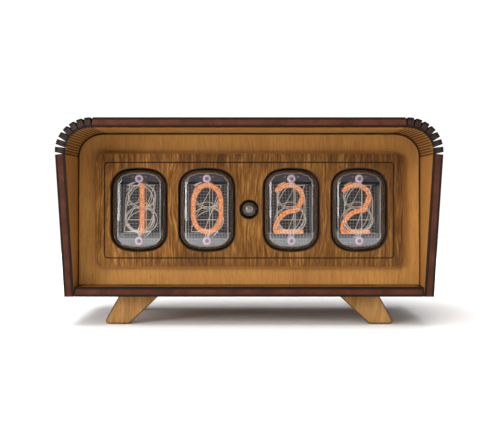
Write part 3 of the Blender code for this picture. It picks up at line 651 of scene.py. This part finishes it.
WOOD_WRAP = wood("veneer_wrap", (0.37, 0.168, 0.040), (0.31, 0.135, 0.032), (0.25, 0.104, 0.023), 1.0, 0.6)
# The floor's veneer is a darker copy: painted shade for its top, which lies in the hood's recess
WOOD_FLOOR_SHADED = wood("veneer_floor_shaded", (0.30, 0.135, 0.034), (0.24, 0.100, 0.023), (0.16, 0.062, 0.013), 2.0, 0.7)
WOOD_PANEL = wood("veneer_panel", PALE, (0.35, 0.163, 0.040), (0.26, 0.110, 0.026), 3.0, 0.45)
BEZEL_LOW, BEZEL_HIGH = mm_box("bezel_plate")
# The bezel's smoke and its painted left-to-right shade: middle height, half width, half height and reach
SMOKE_AND_SHADE_BOX = ((BEZEL_LOW.z + BEZEL_HIGH.z) / 2.0, BEZEL_HIGH.x, (BEZEL_HIGH.z - BEZEL_LOW.z) / 2.0, 7.0)
BEZEL_TONES = ((0.29, 0.134, 0.031), (0.128, 0.049, 0.007), (0.040, 0.013, 0.002))
WOOD_BEZEL = wood("veneer_bezel", *BEZEL_TONES, 4.0, 0.8, smoke_and_shade_box=SMOKE_AND_SHADE_BOX, fine=1.8)
WOOD_REAR = wood("veneer_rear", PALE, GOLD, BROWN, 5.0, 0.7)
WOOD_FEET = wood("veneer_feet", (0.39, 0.215, 0.078), (0.30, 0.152, 0.048), (0.21, 0.094, 0.026), 6.0, 0.8)
WOOD_BARE = wood("veneer_blocks", (0.62, 0.44, 0.25), (0.52, 0.35, 0.18), (0.40, 0.25, 0.12), 7.0, 0.6)
EDGE = burnt_edge("burnt_edge", (0.012, 0.005, 0.003), (0.070, 0.021, 0.010), 0.0)
# The hinge teeth and slot walls get a darker char: scorch, with painted shade for the narrow slots
EDGE_TOOTH_SHADED = burnt_edge("burnt_teeth_shaded", (0.008, 0.005, 0.004), (0.030, 0.017, 0.013), 2.0)
EDGE_DARK = burnt_edge("burnt_edge_dark", (0.035, 0.020, 0.012), (0.10, 0.050, 0.028), 3.0, False)
EDGE_BROWN = burnt_edge("burnt_edge_brown", (0.26, 0.115, 0.036), (0.40, 0.20, 0.075), 5.0, False)
GLASS = clear_glass("envelope_glass")
LAMP_GLASS = clear_glass("lamp_clear_glass", (0.86, 0.90, 0.88))
ANODE = metal("anode_nickel", (0.35, 0.33, 0.325), 0.42)
CATHODE = metal("cathode_wire", (0.90, 0.78, 0.69), 0.38)
# The mica in two copies: lighter for the lower plates and darker for the upper ones, painted light and shade
PLATE_LOW_LIT = ceramic("mica_plate", (0.185, 0.195, 0.21))
PLATE_TOP_SHADED = ceramic("mica_plate_shaded", (0.045, 0.038, 0.046), 0.2, 0.03)
BEAD = ceramic("bead_ceramic", (0.48, 0.37, 0.44))
# Dark pink for the rivets, and for the cap at the front of each bead column: painted shade for the hole down
# the beads
BEAD_HOLE_SHADE_AND_RIVETS = plastic("bead_hole_shade_and_rivets", (0.16, 0.10, 0.13), 0.6)
GLOW = glow("neon_glow", (0.62, 0.14, 0.05), (1.0, 0.39, 0.13), 1.12)
GREY_DISC = plastic("lamp_disc", (0.16, 0.13, 0.12), 0.5, 0.05, 0.2)
LAMP_CUP = metal("lamp_cup", (0.16, 0.17, 0.15), 0.4)

# ---------------- the wrap

# The hinge: slots that are open at the front edge alternate with closed ones. Depths are in millimetres.
BRIDGES_OPEN = ((-3.3, -0.3), (28.0, 31.0))
BRIDGE_CLOSED = (12.0, 15.0)
CLOSED_END = 49.0
TEETH = 7
SLOT_INSIDE = 0.03
FLOOR_TABS = ((10.0, 22.0), (33.0, 45.0))
TENON = (37.5, 45.5)
SIDES = (("left", -1.0), ("right", 1.0))
FEET = [(f"foot_{end}_{word}", side) for end in ("front", "rear") for word, side in SIDES]
LIP = 0.12


def hood_front(z):
    slope = (HOOD_TOP - HOOD_BOTTOM) / (TOP_Z - FLOOR_Z)
    return -(HOOD_BOTTOM + slope * (z - FLOOR_Z))


def wrap_boundaries():
    """Lines along the depth that divide the bent sheet, from the left foot over the roof to its middle.

    Each is (inside point, outside point, arc length, burn), with the kind of the column that follows it.
    """
    outer_x = WIDTH / 2.0
    inner_x = outer_x - SHEET
    bend_z = TOP_Z - SHEET - BEND_UP
    bend_x = inner_x - BEND_ACROSS
    mean = (BEND_ACROSS + BEND_UP) / 2.0
    lines = []
    kinds = []
    for z in (FLOOR_Z, FLOOR_Z + SHEET + GAP, bend_z - 1.3, bend_z - 0.8):
        lines.append(((-inner_x, z), (-outer_x, z), z - FLOOR_Z, 0.0))
        kinds.append("wall" if kinds else "foot")
    start = bend_z - FLOOR_Z
    pitch = math.pi / 2.0 / TEETH

    def add(inside, outside, burn, kind):
        inner = (-bend_x - BEND_ACROSS * math.cos(inside), bend_z + BEND_UP * math.sin(inside))
        across = BEND_ACROSS + SHEET
        up = BEND_UP + SHEET
        outer = (-bend_x - across * math.cos(outside), bend_z + up * math.sin(outside))
        lines.append((inner, outer, start + (mean + SHEET / 2.0) * (inside + outside) / 2.0, burn))
        kinds.append(kind)

    last = None
    for i in range(2 * TEETH + 1):
        middle = i * pitch / 2.0
        kind, mouth = ("closed", 0.5) if i % 2 else ("open", 0.95)
        half_in = SLOT_INSIDE / 2.0 / mean
        half_out = mouth / 2.0 / (mean + SHEET)
        if last:
            add((last[0] + middle - half_in) / 2.0, (last[1] + middle - half_out) / 2.0, 0.05, "strip")
        add(middle - half_in, middle - half_out, 0.9, kind)
        add(middle + half_in, middle + half_out, 0.9, "strip")
        last = (middle + half_in, middle + half_out)
    kinds[-1] = "wall"
    length = start + (mean + SHEET / 2.0) * math.pi / 2.0
    for x in (0.8, 1.3, 20.0, 40.0, bend_x):
        lines.append(((-bend_x + x, TOP_Z - SHEET), (-bend_x + x, TOP_Z), length + x, 0.0))
        kinds.append("wall")
    return lines, kinds[:-1]


def make_wrap():
    """The bent sheet with its hinge slots: a grid of columns round the case and rows along its depth."""
    half, half_kinds = wrap_boundaries()
    middle = half[-1][2]
    mirrored = [((-a[0], a[1]), (-b[0], b[1]), 2.0 * middle - s, burn) for a, b, s, burn in reversed(half[:-1])]
    lines = half + mirrored
    kinds = half_kinds + half_kinds[::-1]
    fixed = [SHEET + GAP, CLOSED_END, REAR_EDGE - 0.7, REAR_EDGE, *BRIDGE_CLOSED]
    for low, high in BRIDGES_OPEN:
        fixed += (low, high)
    for low, high in FLOOR_TABS:
        fixed += (low - GAP, high + GAP)
    fixed.sort()
    b = Builder()
    grid = []
    for inner, outer, s, burn in lines:
        front = hood_front(outer[1])
        depth_rows = [front, front + LIP, front + 0.8, min(front + 9.0, -4.0)] + fixed
        column = []
        for r, y in enumerate(depth_rows):
            mark = 1.0 if r in (0, 1, len(depth_rows) - 1) else burn
            lip = LIP if r == 0 else 0.0
            toward = (Vector(outer) - Vector(inner)).normalized() * lip
            a = Vector(inner) + toward
            c = Vector(outer) - toward
            under = b.vert((a.x, y, a.y), (s, y, SHEET - lip), mark)
            column.append((under, b.vert((c.x, y, c.y), (s, y, lip), mark)))
        grid.append(column)
    rows = len(grid[0]) - 1

    def filled(c, r):
        if not (0 <= c < len(kinds) and 0 <= r < rows):
            return False
        kind = kinds[c]
        y = grid[c][r][0].co.y
        if kind == "open":
            return r > 2 and any(abs(y - low) < 0.01 for low, _ in BRIDGES_OPEN)
        if kind == "closed":
            return r < 3 or abs(y - BRIDGE_CLOSED[0]) < 0.01 or y > CLOSED_END - 0.01
        if kind == "foot":
            return not any(low - GAP - 0.01 <= y < high for low, high in FLOOR_TABS)
        return True

    for c in range(len(kinds)):
        # slot 2, the darker char, goes on the slot walls and the teeth's front ends: scorch plus painted shade
        side_slot = 2 if c > 3 else 1
        cut_slot = 2 if kinds[c] in ("strip", "closed") else 1
        for r in range(rows):
            if not filled(c, r):
                continue
            p, q = grid[c][r], grid[c + 1][r]
            t, u = grid[c][r + 1], grid[c + 1][r + 1]
            face_slot = cut_slot if r == 0 else 0
            b.face((p[0], q[0], u[0], t[0]), face_slot)
            b.face((p[1], t[1], u[1], q[1]), face_slot)
            if not filled(c - 1, r):
                b.face((p[0], t[0], t[1], p[1]), side_slot)
            if not filled(c + 1, r):
                b.face((q[0], q[1], u[1], u[0]), side_slot)
            if not filled(c, r - 1):
                b.face((p[0], p[1], q[1], q[0]), cut_slot)
            if not filled(c, r + 1):
                b.face((t[0], u[0], u[1], t[1]), 1)
    b.object("wrap_shell", [WOOD_WRAP, EDGE, EDGE_TOOTH_SHADED], ["case_wrap"])


# ---------------- the flat sheets


def panel_outline(gap, low):
    half = WIDTH / 2.0 - SHEET - gap
    high = TOP_Z - SHEET - gap
    across = BEND_ACROSS - gap
    up = BEND_UP - gap
    right = [(half, low)] + arc(half - across, high - up, across, up, 0.0, 90.0, 14)
    return right + [(-x, z) for x, z in reversed(right)]


def hole(node, radius, sides):
    """A round hole in line with a CAD node."""
    return circle(*centre(node), radius, sides)


def face_openings():
    return [tube_outline(x, z, 0.0) for x, z in TUBES] + [circle(*LAMP, 3.45, 36)]


def make_front_panel():
    low = FLOOR_Z + SHEET + 0.04
    b = Builder()
    plate(b, [panel_outline(0.3, low)] + face_openings(), 0.0, SHEET, 0.6,
          burn_at=lambda u, v: 0.3 if v < low + 1.0 else 1.0)
    b.object("panel_front", [WOOD_PANEL, EDGE_DARK], ["front_panel"])


def make_bezel():
    """The plate over the front panel. Its outline is scorched above and below, and darkened more on its right
    half as painted shade.
    """
    low, high = BEZEL_LOW, BEZEL_HIGH
    loops = [rounded(low.x, high.x, low.z, high.z, 3.2, 8)] + face_openings()
    outer = rounded(low.x + 3.4, high.x - 3.4, low.z + 3.4, high.z - 3.4, 1.5, 6)
    groove = (outer, offset(outer, 0.36), 0.4)
    middle = (low.z + high.z) / 2.0
    reach = (high.z - low.z) / 2.0

    def burn_at(u, v):
        # scorch along the top and bottom rims; the extra 0.4 on the right half is painted shade
        return max(0.0, abs(v - middle) - reach + 2.0) / 2.0 + (0.4 if u > 0.0 else 0.0)

    b = Builder()
    plate(b, loops, *depths("bezel_plate"), 0.35, edge_round=0.3, groove=groove, burns=[0.45] + [1.0] * 5,
          edge_slots=[2] + [1] * 5, burn_at=burn_at)
    b.object("panel_bezel", [WOOD_BEZEL, EDGE_DARK, EDGE_BROWN], ["bezel_plate"])


def make_floor():
    """The floor plate, with its tabs in the walls and mortises for the feet's tenons."""
    half = WIDTH / 2.0 - SHEET - GAP
    tip = WIDTH / 2.0
    right = [(half, -HOOD_BOTTOM)]
    for start, end in FLOOR_TABS:
        right += [(half, start), (tip, start), (tip, end), (half, end)]
    right.append((half, REAR_EDGE))
    loops = [right + [(-x, y) for x, y in reversed(right)]]
    for node, side in FEET:
        front, back = depths(node)
        a, c = sorted((side * (TENON[0] - GAP), side * (TENON[1] + GAP)))
        loops.append([(a, front - GAP), (c, front - GAP), (c, back + GAP), (a, back + GAP)])
    b = Builder()
    plate(b, loops, FLOOR_Z, FLOOR_Z + SHEET, 3.0, axis="Z")
    # the darker floor veneer is painted shade
    b.object("panel_floor", [WOOD_FLOOR_SHADED, EDGE], ["floor_plate"])


def make_rear_panel():
    loops = [panel_outline(0.06, FLOOR_Z + SHEET + 0.04), hole("power_jack", 4.6, 32)]
    loops += [hole(node, 2.6, 28) for node in ("button_one", "button_two")]
    loops += [hole(node, 1.7, 20) for node in ("rear_screw_left", "rear_screw_right")]
    for i in range(7):
        x = (i - 3) * 6.0
        loops.append(rounded(x - 1.0, x + 1.0, 46.0, 60.0, 0.9, 5))
    b = Builder()
    plate(b, loops, *depths("rear_panel"), 0.6)
    b.object("panel_rear", [WOOD_REAR, EDGE_DARK], ["rear_panel"])


def make_feet():
    top = FLOOR_Z - GAP
    tab_top = FLOOR_Z + SHEET - GAP
    outline = [(34.0, top), (45.4, 0.0)]
    outline += arc(53.3, 1.0, 1.0, 1.0, -90.0, 20.0, 5)
    outline += [(49.2, top), (TENON[1], top), (TENON[1], tab_top), (TENON[0], tab_top), (TENON[0], top)]
    for node, side in FEET:
        b = Builder()
        plate(b, [[(side * x, z) for x, z in outline]], *depths(node), 0.5)
        b.object(f"splayed_{node}", [WOOD_FEET, EDGE], [node])


def make_blocks():
    for word in ("left", "right"):
        node = f"corner_block_{word}"
        low, high = mm_box(node)
        b = Builder()
        loops = [rounded(low.x, high.x, low.z, high.z, 0.4, 3), hole(f"rear_screw_{word}", 1.6, 20)]
        plate(b, loops, *depths(node), 0.6)
        b.object(f"glued_{node}", [WOOD_BARE, WOOD_BARE], [node])


# ---------------- the tubes

# Half width, lowest and highest point of a digit, about the middle of its tube
DIGIT_W = 5.2
DIGIT_LOW = -8.3
DIGIT_HIGH = 9.3
STACK_ORDER = (1, 0, 6, 2, 7, 5, 4, 9, 8, 3)
STACK_FRONT = -1.6
STACK_PITCH = 1.1
BEAD_Z = 11.65
TAIL_Z = 10.8
MESH_TOP = 9.4
MESH_LOW = 13.5
MESH_WIRE = 0.12
# One quarter of the outline of the anode's frame, from its top to its side
MESH_CORNER = ((0.0, 13.6), (3.0, 13.6), (6.2, 12.7), (7.9, 10.6))


def digit_strokes(digit, n=4):
    """Centre lines of one cathode, as (points, closed) pairs, about the middle of the tube."""
    w = DIGIT_W
    low = DIGIT_LOW
    high = DIGIT_HIGH
    if digit == 0:
        top = arc(0.0, high - 6.2, w, 6.2, 0.0, 180.0, 5 * n)
        return [(top + arc(0.0, low + 6.2, w, 6.2, 180.0, 360.0, 5 * n), True)]
    if digit == 1:
        return [([(1.0, low), (1.0, high)], False)]
    if digit == 2:
        hook = arc(-0.9, high - 4.4, w, 4.4, 148.0, -30.0, 5 * n)
        sweep = arc(1.6, low, 7.6, 8.0, 85.0, 180.0, 4 * n)
        return [(hook + sweep + [(4.0, low)], False)]
    if digit == 3:
        upper = arc(0.0, 5.2, w - 0.3, 4.5, 160.0, -75.0, 4 * n)
        return [(upper + arc(0.0, -4.0, w + 0.7, 5.0, 80.0, -160.0, 4 * n), False)]
    if digit == 4:
        return [([(1.9, low), (1.9, high), (-w, -3.9), (4.8, -3.9)], False)]
    if digit == 5:
        start = [(w - 0.7, high), (0.8 - w, high), (0.2 - w, 1.6)]
        return [(start + arc(-0.2, low + 5.6, w, 5.6, 110.0, -155.0, 5 * n), False)]
    if digit == 6:
        bowl = arc(0.0, -3.8, w + 0.4, 4.9, 0.0, 360.0, 7 * n)[:-1]
        return [(bowl, True), (arc(0.6, -3.8, w + 1.0, 12.9, 180.0, 75.0, 3 * n), False)]
    if digit == 7:
        return [([(-w, high), (w, high), (-1.2, low)], False)]
    if digit == 8:
        upper = arc(0.1, 5.4, w, 4.4, 0.0, 360.0, 6 * n)[:-1]
        return [(upper, True), (arc(0.0, -4.1, w + 0.8, 5.0, 0.0, 360.0, 7 * n)[:-1], True)]
    bowl = arc(0.1, 4.9, w, 4.7, 0.0, 360.0, 7 * n)[:-1]
    return [(bowl, True), (arc(-0.6, 4.9, w + 0.7, 13.2, 0.0, -105.0, 3 * n), False)]


def digit_depth(digit):
    return STACK_FRONT + STACK_PITCH * STACK_ORDER.index(digit)


def ribbon(builder, points, closed, width, low, high, slot=0):
    """A flat strip of constant width along a line of (x, z) points, between two depths."""
    count = len(points)
    rings = []
    for i in range(count):
        here = Vector(points[i])
        before = Vector(points[i - 1]) if closed or i > 0 else None
        after = Vector(points[(i + 1) % count]) if closed or i < count - 1 else None
        into = (here - before).normalized() if before is not None else (after - here).normalized()
        out = (after - here).normalized() if after is not None else into
        step = corner_step(into, out, width / 2.0, 0.45)
        a = here + step
        c = here - step
        corners = ((a.x, low, a.y), (c.x, low, c.y), (c.x, high, c.y), (a.x, high, a.y))
        rings.append([builder.vert(corner) for corner in corners])
    builder.join(rings, closed, slot)


FACE_LEAN = 9.0
FACE_INSET = 9.6


def glass_skin(builder, x, z, back, inset, front, radius, crown):
    """One surface of the envelope: straight sides, a rounded shoulder and a slightly domed face."""
    steps = [(inset, back), (inset, front + crown + radius)]
    for i in range(1, 10):
        turn = math.radians(90.0 + (FACE_LEAN - 90.0) * i / 9)
        steps.append((inset + radius * (1.0 - math.sin(turn)), front + crown + radius * (1.0 - math.cos(turn))))
    start = steps[-1][0]
    for i in range(1, 7):
        share = i / 6.0
        steps.append((start + (FACE_INSET - start) * share, front + crown * (1.0 - share) ** 2))
    rings = [[builder.vert((u, y, v)) for u, v in tube_outline(x, z, distance)] for distance, y in steps]
    for p, q in zip(rings, rings[1:]):
        builder.bridge(p, q)
    builder.fill([rings[-1]])
    return rings[0]


def make_glass(number, x, z):
    node = f"tube_{number}_glass"
    front, back = depths(node)
    b = Builder()
    outside = glass_skin(b, x, z, back, 0.4, front, 3.6, 0.5)
    inside = glass_skin(b, x, z, back, 1.2, front + 0.8, 2.9, 0.45)
    b.bridge(outside, inside)
    b.object(f"envelope_{number}", [GLASS], [node], angle=60.0)


def reach(line, at):
    """Read a line of (place, value) points at a distance to either side of the middle."""
    at = abs(at)
    if at <= line[0][0]:
        return line[0][1]
    for (a, first), (c, last) in zip(line, line[1:]):
        if at <= c:
            return first + (last - first) * (at - a) / (c - a)
    return line[-1][1]


def make_anode(number, x, z):
    """The frame with its square mesh, its side walls and the mica plates that carry the beads."""
    node = f"tube_{number}_anode"
    low, high = mm_box(node)
    front, back = depths(node)
    half_w = (high.x - low.x) / 2.0
    b = Builder()
    columns = 14
    for i in range(1, columns):
        u = -half_w + 2.0 * half_w * i / columns
        line = [(x + u, z - reach(MESH_CORNER, u)), (x + u, z + MESH_TOP)]
        ribbon(b, line, False, MESH_WIRE, front, front + 0.08)
    rows = 19
    sideways = [(v, u) for u, v in reversed(MESH_CORNER)]
    for i in range(rows):
        v = MESH_TOP - (MESH_TOP + MESH_LOW) * i / rows
        half = reach(sideways, v)
        ribbon(b, [(x - half, z + v), (x + half, z + v)], False, MESH_WIRE, front + 0.03, front + 0.11)
    down = MESH_CORNER[1:]
    up = MESH_CORNER[:0:-1]
    outline = [(u, v) for u, v in down] + [(u, -v) for u, v in up]
    outline += [(-u, -v) for u, v in down] + [(-u, v) for u, v in up]
    ribbon(b, [(x + u, z + v) for u, v in outline], True, 0.34, front, front + 0.3)
    for side in (-1.0, 1.0):
        u = x + side * (half_w - 0.15)
        ribbon(b, [(u, z - 9.0), (u, z + 9.0)], False, 0.25, front + 0.25, back)
    # the lower plate takes the lighter mica and the upper one the darker: painted light and shade
    for side, plate_slot in ((-1.0, 1), (1.0, 3)):
        outline = [(x + u, z + side * (v - 0.15)) for u, v in down]
        outline += [(x - u, z + side * (v - 0.15)) for u, v in up]
        rings = [[b.vert((u, y, v)) for u, v in outline] for y in (front + 0.35, front + 0.6)]
        b.bridge(rings[0], rings[1], plate_slot)
        b.fill([rings[0]], plate_slot)
        b.fill([rings[1]], plate_slot)
        for rivet in (-2.4, 2.4):
            dot = [(0.0, front + 0.3), (0.4, front + 0.3), (0.4, front + 0.5), (0.0, front + 0.5)]
            lathe(b, dot, (x + rivet, z + side * 12.4), 12, 2)
    b.object(f"anode_{number}", [ANODE, PLATE_LOW_LIT, BEAD_HOLE_SHADE_AND_RIVETS, PLATE_TOP_SHADED], [node])


def make_cathodes(number, x, z, lit):
    """The stack of unlit digits between its columns of beads, and the lit digit in its glow."""
    b = Builder()
    for digit in STACK_ORDER:
        if digit == lit:
            continue
        depth = digit_depth(digit)
        strokes = digit_strokes(digit)
        for points, closed in strokes:
            ribbon(b, [(x + u, z + v) for u, v in points], closed, 0.26, depth - 0.1, depth + 0.1)
        ends = [p for points, _ in strokes for p in points]
        for side in (-1.0, 1.0):
            u, v = min(ends, key=lambda p: abs(p[1] - side * 8.8) + 0.3 * abs(p[0]))
            tail = [(x + u, z + v), (x + 0.35 * u, z + side * TAIL_Z)]
            ribbon(b, tail, False, 0.3, depth - 0.08, depth + 0.08)
    for side in (-1.0, 1.0):
        axis = (x, z + side * BEAD_Z)
        for i in range(11):
            start = -3.1 + STACK_PITCH * i
            profile = [(0.0, start), (1.25, start), (1.6, start + 0.3), (1.6, start + 0.75)]
            profile += [(1.25, start + 1.04), (0.0, start + 1.04)]
            lathe(b, profile, axis, 20, 1)
        # a dark cap in front of the beads: painted shade for their hole
        lathe(b, [(0.0, -3.5), (0.45, -3.45), (0.7, -3.15), (0.7, -3.0), (0.0, -3.0)], axis, 14, 2)
        lathe(b, [(0.0, 9.0), (0.6, 9.0), (0.6, 13.4), (0.0, 13.4)], axis, 10, 0)
    b.object(f"cathodes_{number}", [CATHODE, BEAD, BEAD_HOLE_SHADE_AND_RIVETS], [f"tube_{number}_cathodes"])
    b = Builder()
    depth = digit_depth(lit)
    for points, closed in digit_strokes(lit, 6):
        glow_rod(b, [(x + u, depth, z + v) for u, v in points], closed)
        ribbon(b, [(x + u, z + v) for u, v in points], closed, 0.4, depth - 0.15, depth + 0.15, 1)
    b.object(f"glow_{number}", [GLOW, CATHODE], [f"tube_{number}_digit"])


def dome_line(radius, front, depth, turns):
    """From the middle of a dome to its rim, as (radius, depth) points."""
    points = []
    for i in turns:
        turn = math.radians(90.0 - 90.0 * i / 12)
        points.append((radius * math.cos(turn) if i else 0.0, front + depth * (1.0 - math.sin(turn))))
    return points


def make_lamp():
    low, high = mm_box("lamp_glass")
    front, back = depths("lamp_glass")
    radius = (high.x - low.x) / 2.0
    wall = 0.55
    dome = 3.0
    profile = dome_line(radius, front, dome, range(13)) + [(radius, back), (radius - wall, back)]
    profile += dome_line(radius - wall, front + wall, dome - wall, range(12, -1, -1))
    b = Builder()
    lathe(b, profile, LAMP, 40)
    b.object("lamp_dome", [LAMP_GLASS], ["lamp_glass"], angle=60.0)
    b = Builder()
    disc = [(0.0, -1.4), (1.25, -1.4), (1.5, -1.1), (1.5, -0.8), (0.5, -0.7), (0.5, 23.5), (0.0, 23.5)]
    lathe(b, disc, LAMP, 28)
    cup = [(1.55, -0.3), (2.3, -0.9), (2.4, -0.8), (2.4, 3.0), (1.55, 3.0)]
    lathe(b, cup, LAMP, 28, 1)
    b.object("lamp_disc", [GREY_DISC, LAMP_CUP], ["lamp_cathode"])


# ---------------- finishes of the CAD pieces kept


def refinish():
    """Finish the CAD pieces that stay as they are, each found by a part of its name."""
    black = plastic("moulded_black", (0.018, 0.018, 0.02))
    board = circuit_board("solder_mask")
    chip = plastic("chip_epoxy", (0.022, 0.022, 0.024), 0.55, 0.08)
    finishes = {
        "display_board": board,
        "main_board": board,
        "pin_header": plastic("header_black", (0.02, 0.02, 0.02), 0.5),
        "lamp_holder": black,
        "power_jack": plastic("jack_black", (0.014, 0.014, 0.015), 0.4),
        "battery_holder": black,
        "coin_cell": metal("cell_steel", (0.62, 0.61, 0.6), 0.28, (0.3, 1.0, 4.0)),
        "hv_coil": plastic("wound_ferrite", (0.05, 0.03, 0.02), 0.55, 0.2),
        "hv_capacitor": plastic("capacitor_sleeve", (0.02, 0.03, 0.075), 0.3),
        "driver_chip": chip,
        "microcontroller": chip,
        "switch_": plastic("switch_black", (0.03, 0.03, 0.03), 0.5),
        "button_": plastic("button_black", (0.024, 0.024, 0.026), 0.38),
        "board_spacer": plastic("natural_nylon", (0.72, 0.70, 0.64), 0.4),
        "_socket": plastic("socket_black", (0.016, 0.016, 0.018), 0.5),
        # near-black base: painted shade for the dark inside of each tube
        "_base": ceramic("pressed_glass_painted_shade", (0.028, 0.025, 0.025)),
        "rear_screw": metal("plated_screw", (0.5, 0.46, 0.4), 0.3),
    }
    for name, thing in NODES.items():
        for part, material in finishes.items():
            if part not in name:
                continue
            if not thing.material_slots:
                thing.data.materials.append(material)
            for material_slot in thing.material_slots:
                material_slot.material = material


# ---------------- floor, light and camera


def make_stage():
    """A pale round floor that glows a little away from the clock, so that it fades into the backdrop."""
    s = Shader("studio_floor")
    where = s.place()
    x, y, _ = s.split(where)
    tone = s.noise(where, 0.01)
    s.set(Base_Color=s.mix(tone, (0.90, 0.90, 0.90), (0.93, 0.93, 0.93)), Roughness=0.6, Specular_IOR_Level=0.1)
    flat = s.join(x, s.times(s.minus(y, 5.0), 0.55), 0.0)
    away = s.node("ShaderNodeVectorMath", operation="LENGTH")
    s.feed(away.inputs[0], flat)
    veil = s.ramp(s.math("DIVIDE", away.outputs["Value"], 200.0), [(0.42, 0.0), (0.66, 0.30), (1.0, 0.8)])
    s.set(Emission_Color=(1.0, 1.0, 1.0), Emission_Strength=veil)
    mesh = bpy.data.meshes.new("studio_floor")
    bm = bmesh.new()
    bmesh.ops.create_circle(bm, cap_ends=True, segments=64, radius=0.5)
    bm.to_mesh(mesh)
    bm.free()
    mesh.materials.append(s.material)
    floor = bpy.data.objects.new("studio_floor", mesh)
    floor.location = (0.0, 0.0, -0.0002)
    SCENE.collection.objects.link(floor)


def area_light(name, place_at, aim_z, width, height, power, mirrored=False):
    """A soft lamp. Only a mirrored one shows as a highlight in the glass, and none is seen through it."""
    data = bpy.data.lights.new(name, "AREA")
    data.shape = "RECTANGLE"
    data.size = width
    data.size_y = height
    data.energy = power
    light = bpy.data.objects.new(name, data)
    light.location = place_at
    light.visible_glossy = mirrored
    light.visible_transmission = False
    run = Vector((0.0, 0.0, aim_z)) - Vector(place_at)
    light.rotation_euler = run.to_track_quat("-Z", "Y").to_euler()
    SCENE.collection.objects.link(light)


# How bright the backdrop is to the camera, as light on the clock, and in reflections
BACKDROP = 1.05
BACKDROP_LIGHT = 0.22
BACKDROP_MIRRORED = 0.06


def make_light():
    """Four soft lamps and two strips on a white backdrop."""
    world = bpy.data.worlds.new("studio")
    SCENE.world = world
    world.use_nodes = True
    tree = world.node_tree
    back = tree.nodes["Background"]
    back.inputs[0].default_value = (1.0, 1.0, 1.0, 1.0)
    rays = tree.nodes.new("ShaderNodeLightPath")

    def change(ray, amount):
        made = tree.nodes.new("ShaderNodeMath")
        made.operation = "MULTIPLY_ADD"
        made.inputs[1].default_value = amount
        tree.links.new(rays.outputs[ray], made.inputs[0])
        return made

    seen = change("Is Camera Ray", BACKDROP - BACKDROP_LIGHT)
    seen.inputs[2].default_value = BACKDROP_LIGHT
    level = change("Is Glossy Ray", BACKDROP_MIRRORED - BACKDROP_LIGHT)
    tree.links.new(seen.outputs[0], level.inputs[2])
    tree.links.new(level.outputs[0], back.inputs[1])
    area_light("overhead", (-0.04, -0.05, 1.0), 0.0, 1.4, 2.2, 8.5)
    area_light("high_front", (-0.12, -0.28, 0.98), 0.0, 0.7, 0.6, 8.4)
    area_light("front_soft", (-0.12, -0.98, 0.50), 0.04, 0.5, 0.5, 3.6)
    area_light("side_left", (-1.05, -0.20, 0.36), 0.02, 0.5, 0.4, 5.5)
    area_light("strip_left", (-0.70, -0.76, 0.25), 0.04, 0.44, 0.5, 9.0, True)
    area_light("strip_right", (0.74, -0.68, 0.28), 0.04, 0.10, 0.5, 1.2, True)
    SCENE.view_settings.view_transform = "Standard"


def make_camera():
    """The photograph's view: level, straight on, from 380 mm in front of the panel."""
    data = bpy.data.cameras.new("camera")
    data.sensor_width = 36.0
    data.lens = 72.2
    data.shift_x = 0.0017
    data.shift_y = -0.051
    data.clip_start = 0.01
    data.clip_end = 20.0
    camera = bpy.data.objects.new("camera", data)
    camera.location = point(0.0, -380.0, 48.7)
    camera.rotation_euler = (math.radians(90.0), 0.0, 0.0)
    SCENE.collection.objects.link(camera)
    SCENE.camera = camera


make_wrap()
make_front_panel()
make_bezel()
make_floor()
make_rear_panel()
make_feet()
make_blocks()
for index, ((tube_x, tube_z), lit) in enumerate(zip(TUBES, LIT)):
    make_glass(index + 1, tube_x, tube_z)
    make_anode(index + 1, tube_x, tube_z)
    make_cathodes(index + 1, tube_x, tube_z, lit)
make_lamp()
refinish()
make_stage()
make_light()
make_camera()
